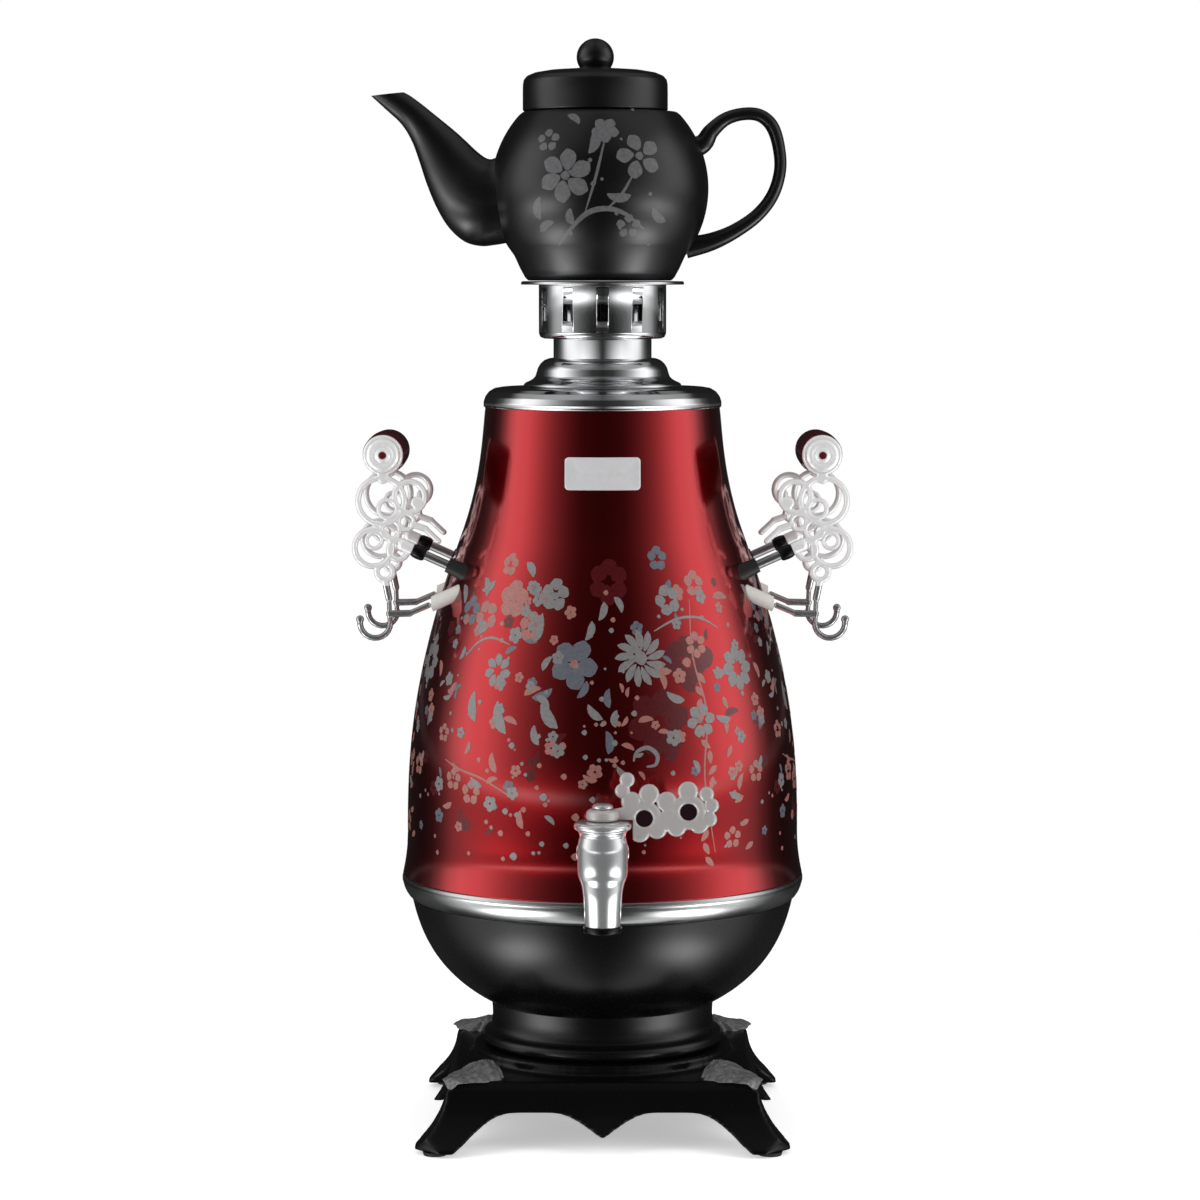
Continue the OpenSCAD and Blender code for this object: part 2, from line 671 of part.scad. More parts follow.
// The same point set on the teapot's ball
function onto_ball(p) = let (c = [pot_x, 0, ball_z]) c + (ball_r + 0.1) * (p - c) / norm(p - c);

// One skin of the spout: thinning is 0 for its outside and 1 for its inside
function spout_skin(thinning) = let (rows = spline(spout_rows, 2), last = len(rows) - 1)
    [for (i = [0:last], k = [0:spout_sides - 1])
        let (wall = thinning * (2.8 - 1.7 * i / last), turn = 360 * k / spout_sides)
        i == 0 ? onto_ball(spout_point(rows[i], wall, turn)) : spout_point(rows[i], wall, turn)];

// Outer skin, inner skin and the two rims that close them
module teapot_spout() color(black) {
    outer = spout_skin(0);
    inner = spout_skin(1);
    n = spout_sides;
    size = len(outer);
    tip = size - n;
    polyhedron(concat(outer, inner), [for (k = [0:n - 1]) let (m = (k + 1) % n) each concat(
        [for (i = [0:n:tip - n]) [i + k, i + m, i + n + m, i + n + k]],
        [for (i = [size:n:size + tip - n]) [i + k, i + n + k, i + n + m, i + m]],
        [[m, k, size + k, size + m], [tip + k, tip + m, size + tip + m, size + tip + k]])]);
}

// Handle rows: x and z of its middle, half its width, half its thickness
handle_rows = [[44, 541, 5.4, 6], [55, 545.5, 5, 5.2], [60, 552.5, 4.6, 4.2], [68, 559.2, 4.6, 3.6],
    [78, 562, 4.8, 3.5], [87, 561, 5, 3.6], [93.6, 555, 5, 3.7], [97.2, 544, 4.8, 3.5],
    [98, 531, 4.6, 3.4], [94, 517.5, 4.6, 3.5], [85.5, 506.4, 4.6, 3.7], [73, 497.6, 4.8, 4.1],
    [60, 491.8, 5.2, 4.9], [46, 488.5, 5.6, 5.6]];

module teapot_handle() color(black) difference() {
    sweep(spline(handle_rows, 3), 12);
    teapot_ball();
    translate([pot_x, 0, 0]) turned([[0, 470], [39.6, 470], [41.8, 472.4], [50, 487.9], [0, 500]]);
}

// Drum with a locating skirt below and a ball knob on top
module teapot_lid() color(black) translate([lid_x, 0, 0]) {
    turned([[36.4, lid_foot_z], [lid_drum_r - 0.6, lid_foot_z], [lid_drum_r, lid_foot_z + 0.8],
        [lid_drum_r, 578.5], [39.4, 580.9], [37.4, 582.8], [33.5, 584.4], [26, 585.8], [14, 586.6],
        [6, 586.9], [5.2, 587.8], [5.2, knob_z - 3], [0, knob_z - 3], [0, 583], [24, 582.2],
        [28.6, 581], [29.4, 579], [29.4, 553], [31, 552.4], [31.8, 553.4], [31.8, 577.5],
        [35, 577.5], [36.4, 576]]);
    translate([0, 0, knob_z]) sphere(r = knob_r);
}

// ---- side handles -------------------------------------------------------------------------

// One scroll bracket of the right side, drawn in the X-Z plane
module bracket2d() {
    eye = [grip_x, grip_z];
    difference() {
        union() {
            translate(eye) circle(r = 11);
            ring2d(grip_x + 1, 350.4, 12.6, bar_w);
            ring2d(grip_x - 14.4, 352.6, 8.4, bar_w);
            translate([grip_x - 18.6, 349.4]) circle(r = 3.6);
            ring2d(grip_x - 2.4, 346, 5, bar_w - 0.6);
            ring2d(grip_x + 5.4, 324.8, 10.2, bar_w);
            ring2d(grip_x + 5, 328.6, 4.2, bar_w - 0.8);
            ring2d(grip_x - 4, 334.6, 5, bar_w - 0.4);
            ring2d(grip_x - 8.2, 323.6, 5.2, bar_w);
            ring2d(grip_x - 12.6, 339, 4.2, bar_w - 0.6);
            ring2d(grip_x - 0.8, 311.5, 4.4, bar_w);
            slab2d(eye - [0, 9], [grip_x, 363], 2 * bar_w);
            slab2d([104, 337.6], [97, 335.2], bar_w + 0.4);
            slab2d([97, 335.2], [89.8, 328.4], bar_w);
            slab2d([119, 307], [117, 297], bar_w + 0.6);
            slab2d([117, 297], [116.5, 283], bar_w - 0.6);
            slab2d([116.8, 288.5], [105.7, 288.8], bar_w + 0.6);
            slab2d([105.7, 288.8], [95.4, 293.2], bar_w);
            intersection() {
                ring2d(124.6, 283.5, 8.3, bar_w);
                translate([112, 270]) square([30, 15.5]);
            }
            translate([132.9, 285.5]) circle(r = 2.2);
        }
        translate(eye) circle(r = 2.1);
    }
}

// The lug under the scrolls takes the end of the stud
module bracket(side_y) color(chrome) translate([0, side_y * bracket_y, 0]) difference() {
    union() {
        rotate([90, 0, 0]) linear_extrude(bracket_t, center = true) bracket2d();
        stud_axis() translate([0, 0, bead_half]) cylinder(r = 3.6, h = 8.5);
    }
    stud_axis() translate([0, 0, bead_half - 6]) cylinder(r = stud_r, h = 12);
}

module bracket_right_front() { bracket(-1); }
module bracket_right_rear() { bracket(1); }
module bracket_left_front() { mirror([1, 0, 0]) bracket(-1); }
module bracket_left_rear() { mirror([1, 0, 0]) bracket(1); }

module grip() color([0.3, 0.03, 0.06]) translate([grip_x, 0, grip_z]) rotate([90, 0, 0]) difference() {
    end = [[grip_r, grip_half - 4], [grip_r - 0.4, grip_half - 1.2], [grip_r - 1.6, grip_half],
        [0, grip_half]];
    turned(concat([for (p = reversed(end)) [p[0], -p[1]]], [[grip_r + 0.5, 0]], end));
    cylinder(r = rod_hole_r, h = 200, center = true);
}

module grip_right() { grip(); }
module grip_left() { mirror([1, 0, 0]) grip(); }

module grip_caps() color(chrome) {
    mirrored_x() mirrored_y() translate([grip_x, -bracket_y - bracket_t / 2, grip_z])
        rotate([90, 0, 0]) difference() {
            turned([[0, 0], [8.9, 0], [9.3, 0.9], [8.7, 2.3], [6.2, 3.6], [3.2, 4], [2.6, 3.4], [0, 3.2]]);
            translate([0, 0, -1]) cylinder(r = rod_hole_r, h = 3);
        }
}

module grip_rods() color([0.7, 0.7, 0.7]) {
    mirrored_x() translate([grip_x, 0, grip_z]) rotate([90, 0, 0])
        cylinder(r = 2, h = 2 * (bracket_y + bracket_t / 2 + 1.9), center = true);
}

module handle_studs() color([0.7, 0.7, 0.7]) {
    each_stud() translate([0, 0, -36]) cylinder(r = stud_r, h = 36 + bead_half + 6);
}

// Dark washers between the studs and the body, shaped to the body's wall
module stud_spacers() color(black) difference() {
    each_stud() translate([0, 0, -34]) cylinder(r1 = 5.6, r2 = 4, h = 17);
    body_core();
    each_stud() translate([0, 0, -40]) cylinder(r = stud_r, h = 50);
}

// Dark beads on the studs that keep the body's heat from the brackets
module stud_beads() color(black) {
    each_stud() turned([[stud_r, -bead_half], [3.2, -bead_half], [3.8, -2.4], [4, 0], [3.8, 2.4],
        [3.2, bead_half], [stud_r, bead_half]]);
}

module stud_tank_nuts() color(chrome) difference() {
    each_stud() translate([0, 0, -34.6]) cylinder(r = 5, h = 5, $fn = 6);
    each_stud() translate([0, 0, -40]) cylinder(r = stud_r, h = 50);
}

// Dark pads that hold the brackets' lower arms off the body
module arm_pads() color([0.62, 0.6, 0.56]) difference() {
    mirrored_x() mirrored_y() translate([93.4, bracket_y, 293.9]) rotate([0, -66, 0])
        translate([0, 0, -1]) cylinder(r = 4, h = 26);
    body_core();
    mirrored_x() mirrored_y() translate([93.8, bracket_y - 10, 280]) cube([40, 20, 30]);
}

// ---- nodes --------------------------------------------------------------------------------

base_stand();
corner_leaves();
leaf_screws();
foot_pads();
pedestal_collar();
base_bowl();
trim_band();
rear_housing();
power_inlet();
inlet_blades();
rocker_switch();
rocker_pin();
body_shell();
rim_ring();
name_plate();
tank_bottom();
bowl_gasket();
heating_element();
heater_nuts();
thermostat();
thermal_cutout();
terminal_block();
heater_leads();
tie_rod();
tie_nut();
tap_body();
tap_nozzle();
tap_bonnet();
tap_gasket();
tap_lock_nut();
tap_plug();
tap_key();
key_screw();
lid_dome();
lid_gasket();
lid_neck();
crown_ring();
crown_plate();
teapot_body();
teapot_spout();
teapot_handle();
teapot_lid();
bracket_left_front();
bracket_left_rear();
bracket_right_front();
bracket_right_rear();
grip_left();
grip_right();
grip_caps();
grip_rods();
handle_studs();
stud_spacers();
stud_beads();
stud_tank_nuts();
arm_pads();
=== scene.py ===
"""The finish of an electric samovar with a teapot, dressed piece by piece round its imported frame.

Sizes are written in millimetres and turned into metres where a mesh is made.
"""

import json
import math

import bmesh
import bpy
import numpy as np
from mathutils import Matrix, Vector, noise

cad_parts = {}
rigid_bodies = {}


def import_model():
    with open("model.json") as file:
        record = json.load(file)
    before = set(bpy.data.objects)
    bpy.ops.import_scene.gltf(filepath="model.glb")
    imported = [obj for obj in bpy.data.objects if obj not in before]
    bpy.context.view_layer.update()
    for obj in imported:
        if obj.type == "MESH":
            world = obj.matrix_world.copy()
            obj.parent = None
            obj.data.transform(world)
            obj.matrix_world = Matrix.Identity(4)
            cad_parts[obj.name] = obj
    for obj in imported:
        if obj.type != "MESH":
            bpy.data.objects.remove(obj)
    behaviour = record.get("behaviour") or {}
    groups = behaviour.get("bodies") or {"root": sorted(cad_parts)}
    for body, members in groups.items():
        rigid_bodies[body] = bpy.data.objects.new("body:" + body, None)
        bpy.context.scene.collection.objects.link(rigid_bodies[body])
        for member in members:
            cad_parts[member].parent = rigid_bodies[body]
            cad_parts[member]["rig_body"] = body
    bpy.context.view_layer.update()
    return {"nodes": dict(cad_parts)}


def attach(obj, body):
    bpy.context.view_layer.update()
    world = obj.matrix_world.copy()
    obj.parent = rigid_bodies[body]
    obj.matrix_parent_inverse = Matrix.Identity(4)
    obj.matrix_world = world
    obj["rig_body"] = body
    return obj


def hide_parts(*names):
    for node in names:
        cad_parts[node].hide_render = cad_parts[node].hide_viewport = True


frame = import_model()
nodes = frame["nodes"]
MM = 0.001


# ---- The view ------------------------------------------------------------------------
# The samovar stands on a table and is looked at from its front, from the height
# of its crown, two metres away, so the camera looks down on its middle by five degrees.

scene = bpy.context.scene
scene.view_settings.view_transform = "Standard"
lens = bpy.data.cameras.new("view")
lens.sensor_width = 36
lens.lens = 113.43
camera = bpy.data.objects.new("view", lens)
camera.location = Vector((-1.4, -2100, 475)) * MM
camera.rotation_euler = (math.radians(90 - 4.954), 0, 0)
scene.collection.objects.link(camera)
scene.camera = camera


# ---- Stand ---------------------------------------------------------------------------
# A square foot moulded in black plastic, with four splayed legs and an ogee apron
# on each side. The mould leaves every edge soft. It is clamped by the central rod.


def fill(node, sockets):
    """Gives a shader node's sockets their values, or links them to other nodes' outputs."""
    for socket, value in sockets.items():
        if isinstance(value, bpy.types.NodeSocket):
            node.id_data.links.new(value, node.inputs[socket])
        else:
            node.inputs[socket].default_value = value


def add(tree, kind, sockets):
    """A new shader node with its sockets filled."""
    node = tree.nodes.new(f"ShaderNode{kind}")
    fill(node, sockets)
    return node


def finish(name, colour, metallic=0.0, roughness=0.4, wander=0.08, grain=250, relief=0.0, tone=0.12,
           ior=1.5, coat=0.0, coat_roughness=0.04):
    """A finish whose gloss and tone wander with a fine grain; relief is the grain's height in mm."""
    material = bpy.data.materials.new(name)
    material.use_nodes = True
    tree = material.node_tree
    shader = tree.nodes["Principled BSDF"]
    place = tree.nodes.new("ShaderNodeTexCoord")
    speckle = add(tree, "TexNoise", {"Vector": place.outputs["Object"], "Scale": grain, "Detail": 3})
    gloss = add(tree, "MapRange", {"Value": speckle.outputs["Fac"], "To Min": max(roughness - wander, 0.02),
                                   "To Max": roughness + wander})
    shades = tree.nodes.new("ShaderNodeMix")
    shades.data_type = "RGBA"
    fill(shades, {"Factor": speckle.outputs["Fac"], "A": (*(c * (1 - tone) for c in colour), 1),
                  "B": (*(min(c * (1 + tone), 1) for c in colour), 1)})
    fill(shader, {"Base Color": shades.outputs["Result"], "Roughness": gloss.outputs["Result"],
                  "Metallic": metallic, "IOR": ior, "Coat Weight": coat, "Coat Roughness": coat_roughness})
    if relief:
        bump = add(tree, "Bump", {"Height": speckle.outputs["Fac"], "Strength": 1, "Distance": relief * MM})
        fill(shader, {"Normal": bump.outputs["Normal"]})
    return material


def piece(name, mesh, material, slot, *stands_for, crease=40, body=None):
    """Puts a mesh into the scene as one piece, in place of the frame's nodes that it stands for."""
    made = bpy.data.objects.new(name, mesh)
    scene.collection.objects.link(made)
    mesh.materials.append(material)
    mesh.shade_smooth()
    mesh.set_sharp_from_angle(angle=math.radians(crease))
    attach(made, body or nodes[stands_for[0]]["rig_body"])
    if stands_for:
        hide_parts(*stands_for)
    return made


def apply_all(made):
    """Replaces a piece's mesh with the result of its modifiers."""
    bpy.context.view_layer.update()
    shaped = bpy.data.meshes.new_from_object(made.evaluated_get(bpy.context.evaluated_depsgraph_get()))
    made.modifiers.clear()
    made.data = shaped


def moulded(name, node, material, slot, voxel, rounds):
    """A node's own shape with the soft edges of a moulding."""
    made = piece(name, nodes[node].data.copy(), material, slot, node)
    made.data.materials.clear()
    made.data.materials.append(material)
    grid = made.modifiers.new("grid", "REMESH")
    grid.mode = "VOXEL"
    grid.voxel_size = voxel * MM
    soft = made.modifiers.new("soft", "SMOOTH")
    soft.iterations = rounds
    soft.factor = 0.5
    apply_all(made)
    made.data.shade_smooth()
    return made


black_moulding = finish("black_moulding", (0.002, 0.002, 0.0022), roughness=0.24, grain=900, relief=0.01,
                        ior=1.36)
moulded("stand", "base_stand", black_moulding, "satin_black", voxel=1.3, rounds=6)


# ---- Corner leaves -------------------------------------------------------------------
# Four leaf ornaments cast in dark metal, with ribs and a rough ground between them.
# Each lies on a corner of the stand, curls over its edge and is screwed from below.

LEAF_SPINE = [(85.2, 43), (86.4, 45.6), (89, 46.8), (94, 46), (102, 43.2), (110, 41.2), (115.2, 40.2),
              (117.9, 37.6), (118.3, 34.4)]
LEAF_GROUND = [*((x, 38.1) for x in (85, 86.4, 89, 94, 102, 109, 115.5)), (116.6, 36.6), (117.2, 34)]
LEAF_HALF = [7, 10, 12.6, 15.2, 15.2, 11.4, 7.6, 4.6, 1.4]


def smooth_line(points, steps):
    """Catmull-Rom curve through a list of points, with that many steps in each stretch."""
    p = np.array([points[0], *points, points[-1]], float)
    t = np.linspace(0, 1, steps, endpoint=False)[:, None]
    runs = []
    for a, b, c, d in zip(p[:-3], p[1:-2], p[2:-1], p[3:]):
        bend = t**2 * (2 * a - 5 * b + 4 * c - d) + t**3 * (3 * b - a - 3 * c + d)
        runs.append(0.5 * (2 * b + t * (c - a) + bend))
    return np.vstack([*runs, p[-1:]])


def leaf_verts(turn):
    """Top and ground points of one leaf, rows along its rib and columns across it."""
    steps, across = 8, 33
    spine = smooth_line(LEAF_SPINE, steps)
    ground = smooth_line(LEAF_GROUND, steps)
    half = smooth_line([(w, w) for w in LEAF_HALF], steps)[:, 0]
    rows = len(spine)
    top, under = [], []
    for i in range(rows):
        along = i / (rows - 1)
        lobe = half[i] * (0.86 + 0.16 * abs(math.cos(along * math.pi * 5.5)))
        for k in range(across):
            side = 2 * k / (across - 1) - 1
            out = abs(side)
            rib = math.exp(-((side / 0.09) ** 2))
            vein = 0.5 + 0.5 * math.cos(math.tau * (along * 7 - out * 1.5))
            rough = noise.noise(Vector((along * 30 + turn, side * 9, turn * 3)))
            swell = (1 - out**2.4) * 0.82 + 0.12 * vein * (1 - rib) * (1 - out**6) + 0.1 * rib
            lift = swell * (1 + 0.14 * rough * (1 - out))
            point = ground[i] + (spine[i] - ground[i]) * lift
            top.append((point[0], side * lobe, point[1]))
            under.append((ground[i][0], side * lobe, ground[i][1] - 0.05))
    return np.array(top), np.array(under), rows, across


def closed_sheet(top, under, rows, across):
    """Vertices and faces of a sheet with a top, an underside and a rim."""
    faces = []
    size = rows * across
    for i in range(rows - 1):
        for k in range(across - 1):
            a = i * across + k
            faces.append((a, a + across, a + across + 1, a + 1))
            faces.append((size + a, size + a + 1, size + a + across + 1, size + a + across))
    rim = list(range(across))
    rim += [i * across + across - 1 for i in range(1, rows)]
    rim += [(rows - 1) * across + k for k in range(across - 2, -1, -1)]
    rim += [i * across for i in range(rows - 2, 0, -1)]
    for a, b in zip(rim, rim[1:] + rim[:1]):
        faces.append((a, b, size + b, size + a))
    return np.vstack([top, under]), faces


def turned_by(points, degrees):
    """Points turned about the upright axis."""
    c, s = math.cos(math.radians(degrees)), math.sin(math.radians(degrees))
    return points @ np.array([[c, s, 0], [-s, c, 0], [0, 0, 1]])


def mesh_from(name, verts, faces):
    """A mesh from millimetre points, with coincident points joined and its faces looking outwards."""
    mesh = bpy.data.meshes.new(name)
    mesh.from_pydata((np.asarray(verts, float) * MM).tolist(), [], faces)
    work = bmesh.new()
    work.from_mesh(mesh)
    bmesh.ops.remove_doubles(work, verts=work.verts, dist=1e-6)
    bmesh.ops.dissolve_degenerate(work, edges=work.edges, dist=1e-7)
    bmesh.ops.recalc_face_normals(work, faces=work.faces)
    work.to_mesh(mesh)
    work.free()
    return mesh


leaf_points, leaf_faces = [], []
for corner in range(4):
    top, under, rows, across = leaf_verts(corner)
    verts, faces = closed_sheet(top, under, rows, across)
    start = corner * len(verts)
    leaf_points.append(turned_by(verts, 45 + 90 * corner))
    leaf_faces += [tuple(start + i for i in face) for face in faces]
cast_leaf = finish("cast_leaf", (0.17, 0.17, 0.173), metallic=0.4, roughness=0.36, grain=420, relief=0.9,
                   tone=0.85)
piece("leaf_ornaments", mesh_from("leaf_ornaments", np.vstack(leaf_points), leaf_faces), cast_leaf,
      "satin_black", "corner_leaves", crease=70)


# ---- Small fixings -------------------------------------------------------------------
# Rubber pads pushed into the feet, and steel rods, nuts and screws out of sight. They
# keep the frame's own shapes and only take the finish of their stuff.


def dress(material, *names):
    """Gives the frame's own nodes a finish."""
    for name in names:
        nodes[name].data.materials.clear()
        nodes[name].data.materials.append(material)


pad_rubber = finish("pad_rubber", (0.015, 0.015, 0.015), roughness=0.75, grain=1500, relief=0.05)
zinc_steel = finish("zinc_steel", (0.55, 0.55, 0.56), metallic=1, roughness=0.32, wander=0.1, grain=600)
raw_brass = finish("raw_brass", (0.62, 0.44, 0.2), metallic=1, roughness=0.3, wander=0.1, grain=500)
silicone = finish("silicone", (0.62, 0.6, 0.56), roughness=0.6, grain=900, relief=0.02)
steatite = finish("steatite", (0.72, 0.69, 0.6), roughness=0.65, grain=1200, relief=0.03)
lead_sleeve = finish("lead_sleeve", (0.62, 0.4, 0.05), roughness=0.6, grain=2500, relief=0.08)
matt_moulding = finish("matt_moulding", (0.014, 0.014, 0.015), roughness=0.5, grain=1600, relief=0.03)
dress(pad_rubber, "foot_pads")
dress(zinc_steel, "leaf_screws", "tie_rod", "tie_nut", "tap_lock_nut", "grip_rods", "handle_studs",
      "stud_tank_nuts", "rocker_pin", "heating_element", "tank_bottom")
dress(raw_brass, "heater_nuts", "tap_plug", "inlet_blades")
dress(silicone, "bowl_gasket", "tap_gasket", "lid_gasket", "arm_pads")
dress(steatite, "thermal_cutout", "terminal_block")
dress(lead_sleeve, "heater_leads")
dress(matt_moulding, "thermostat", "power_inlet", "rear_housing", "stud_spacers")
dress(black_moulding, "rocker_switch")


# ---- Pedestal collar -----------------------------------------------------------------
# A spun ring in satin black enamel that carries the bowl, with a bead round its foot.
# It stands on the stand's round step and is held by the central rod.


def bezier(a, b, c, d, steps):
    """Points along a cubic curve."""
    t = np.linspace(0, 1, steps + 1)[:, None]
    a, b, c, d = (np.array(p, float) for p in (a, b, c, d))
    return (1 - t)**3 * a + 3 * (1 - t)**2 * t * b + 3 * (1 - t) * t**2 * c + t**3 * d


def square_to(line):
    """Unit vectors square to a flat line, on its left."""
    run = np.gradient(line, axis=0)
    run /= np.linalg.norm(run, axis=1)[:, None]
    return np.column_stack([-run[:, 1], run[:, 0]])


def sheet_of(line, thick):
    """Closed outline of a sheet whose outer face is a rising line."""
    line = np.asarray(line, float)
    inner = line + thick * square_to(line)
    return np.vstack([line, inner[::-1]])


def eased(outline, radius, gentle=18, brace=0.35):
    """A closed outline with its corners rounded; points where it bends only gently stay.

    A brace, a point just before and after each corner, keeps the long faces beside it flat.
    """
    p = np.asarray(outline, float)
    out = []
    for before, here, after in zip(np.roll(p, 1, 0), p, np.roll(p, -1, 0)):
        u, v = before - here, after - here
        lu, lv = np.linalg.norm(u), np.linalg.norm(v)
        if min(lu, lv) < 1e-6:
            continue
        bend = 180 - math.degrees(math.acos(np.clip(u @ v / lu / lv, -1, 1)))
        if bend < gentle:
            out.append(here)
            continue
        cut = min(radius, 0.45 * lu, 0.45 * lv)
        a, b = here + u / lu * cut, here + v / lv * cut
        if lu > 2 * cut + 1:
            out.append(a + u / lu * brace)
        out += [(1 - t)**2 * a + 2 * t * (1 - t) * here + t**2 * b for t in (0, 0.25, 0.5, 0.75, 1)]
        if lv > 2 * cut + 1:
            out.append(b + v / lv * brace)
    return np.array(out)


def hoops(rings, sides):
    """Faces between neighbouring rings of points, each ring closed in itself."""
    faces = []
    for i in range(rings - 1):
        for k in range(sides):
            m = (k + 1) % sides
            faces.append((i * sides + k, i * sides + m, (i + 1) * sides + m, (i + 1) * sides + k))
    return faces


def turned(name, outline, around=192, at=None):
    """A mesh turned from a closed outline of (radius, height) points; at places its axis."""
    outline = np.asarray(outline, float)
    outline[:, 0] = np.maximum(outline[:, 0], 0)
    count = len(outline)
    angle = np.arange(around) * math.tau / around
    verts = np.zeros((around, count, 3))
    verts[..., 0] = np.cos(angle)[:, None] * outline[None, :, 0]
    verts[..., 1] = np.sin(angle)[:, None] * outline[None, :, 0]
    verts[..., 2] = outline[None, :, 1]
    faces = [tuple(i % (around * count) for i in face) for face in hoops(around + 1, count)]
    verts = verts.reshape(-1, 3)
    if at is not None:
        verts = np.array([at @ Vector(v) for v in verts])
    return mesh_from(name, verts, faces)


def spun(name, node, outline, soft, material, slot, around=192, at=None):
    """A node's piece turned from its outline, with its corners eased by a soft radius."""
    return piece(name, turned(name, eased(outline, soft), around, at), material, slot, node)


COLLAR_SHEET = 2.4
collar_line = smooth_line([(64.5, 44.5), (66.3, 46.1), (66.8, 48.6), (66.1, 51.2), (63.4, 53.2),
                           (62.1, 55.6), (61.7, 61), (62.1, 69)], 6)
satin_enamel = finish("satin_enamel", (0.002, 0.002, 0.0025), roughness=0.26, wander=0.04, grain=1200,
                      relief=0.01)
spun("collar", "pedestal_collar", sheet_of(collar_line, COLLAR_SHEET), 0.4, satin_enamel, "satin_black")


# ---- Bowl ----------------------------------------------------------------------------
# The lower housing, pressed from sheet and finished in the same satin black enamel.
# Its floor sits on the collar and its turned-in rim carries the gasket of the tank.

BOWL_LINE = bezier((62.7, 69), (97.5, 87.1), (103.2, 113.5), (106.7, 127.7), 40)
BOWL_SHEET = 1.2
INLET_LOW, INLET_HIGH = (-36, 60, 82), (36, 120, 112)


def box_mesh(low, high):
    """A plain block that only serves as a cutter."""
    mesh = bpy.data.meshes.new("cutter")
    work = bmesh.new()
    bmesh.ops.create_cube(work, size=1)
    for v in work.verts:
        v.co = Vector([(l + h) / 2 + c * (h - l) for c, l, h in zip(v.co, low, high)]) * MM
    work.to_mesh(mesh)
    work.free()
    return mesh


def cut(made, cutters):
    """Takes the cutter meshes out of a piece."""
    for mesh in cutters:
        cutter = bpy.data.objects.new("cutter", mesh)
        scene.collection.objects.link(cutter)
        tool = made.modifiers.new("cut", "BOOLEAN")
        tool.operation = "DIFFERENCE"
        tool.solver = "EXACT"
        tool.object = cutter
        apply_all(made)
        bpy.data.objects.remove(cutter)


inner_bowl = sheet_of(BOWL_LINE, BOWL_SHEET)[len(BOWL_LINE):]
bowl_outline = np.vstack([BOWL_LINE, [(105.9, 127.7), (97, 127.7), (97, 126.5)], inner_bowl[2:-2],
                          [(60, 70.6), (4.3, 70.6), (4.3, 69)]])
bowl = spun("bowl", "base_bowl", bowl_outline, 0.3, satin_enamel, "satin_black")
cut(bowl, [box_mesh(INLET_LOW, INLET_HIGH)])


# ---- Trim band -----------------------------------------------------------------------
# A bright hoop rolled from stainless strip over the seam between bowl and body, with a
# bead along its top. The tie rod clamps it between the two.

BAND_OUTLINE = [(105.5, 128), (107.1, 127.9), (108.6, 129.3), (110, 131.4), (111, 133.6), (111.5, 135.4),
                (112, 137.2), (112, 139), (111.6, 140.5), (110.6, 141), (108.8, 141), (108.2, 139.4),
                (106.4, 135), (105.5, 131)]
bright_trim = finish("bright_trim", (0.62, 0.63, 0.63), metallic=1, roughness=0.18, wander=0.04, grain=300,
                     tone=0.04)
spun("trim_band_hoop", "trim_band", BAND_OUTLINE, 0.5, bright_trim, "chrome_plate")


# ---- Body ----------------------------------------------------------------------------
# The tank: a pear-shaped shell spun from stainless sheet. Outside it has a clear red
# lacquer over the metal, inside it is bare. Its foot sits in the trim band.

BODY_SHEET = 0.8
BELLY, BELLY_Z, FOOT_Z, FLARE = 108.9, 165, 141, 2.7
WAIST = (78.6, 329.5)
foot_z = np.linspace(FOOT_Z, 163, 12)
foot_line = np.column_stack([BELLY + FLARE * ((BELLY_Z - foot_z) / (BELLY_Z - FOOT_Z))**2, foot_z])
BODY_LINE = np.vstack([foot_line, bezier((BELLY, BELLY_Z), (BELLY, 212), (105.5, 254.9), WAIST, 56),
                       bezier(WAIST, (66.2, 363.7), (66.8, 390), (64.7, 402.6), 40)[1:]])
red_lacquer = finish("red_lacquer", (0.5, 0.007, 0.012), metallic=1, roughness=0.16, wander=0.02,
                     grain=3500, tone=0.08, coat=1, coat_roughness=0.08)
bare_steel = finish("bare_steel", (0.5, 0.49, 0.48), metallic=1, roughness=0.35, wander=0.1, grain=180)
shell_mesh = turned("shell", eased(sheet_of(BODY_LINE, BODY_SHEET), 0.2), around=256)
piece("body_lacquered", shell_mesh, red_lacquer, "red_lacquer", "body_shell")
shell_mesh.materials.append(bare_steel)
for face in shell_mesh.polygons:
    spot = face.center
    face.material_index = int(face.normal.x * spot.x + face.normal.y * spot.y < 0)


# ---- Rim ring ------------------------------------------------------------------------
# A ring of chromed sheet rolled over the body's shoulder, with a lip round the filling
# mouth. It is pressed on and closes the shell at its top.

RIM_OUTLINE = [(65.4, 400.4), (66, 401.2), (66, 403.6), (65, 406.6), (63, 409.2), (60, 411), (56.5, 411.6),
               (41.2, 411.6), (40, 410.4), (40, 404), (41.2, 404), (41.2, 410.4), (56.6, 410.4),
               (60.6, 408.8), (62.8, 406.6), (63.6, 402.8), (65, 402.8), (65.4, 401.4)]
chrome = finish("chrome", (0.8, 0.81, 0.82), metallic=1, roughness=0.07, wander=0.02, grain=120, tone=0.03)
spun("rim_rolled", "rim_ring", RIM_OUTLINE, 0.4, chrome, "chrome_plate")


# ---- Lid -----------------------------------------------------------------------------
# A stepped dome of chromed sheet with a short neck. A sleeve and a silicone ring hold
# it in the filling mouth, and it lifts off with the crown on it.

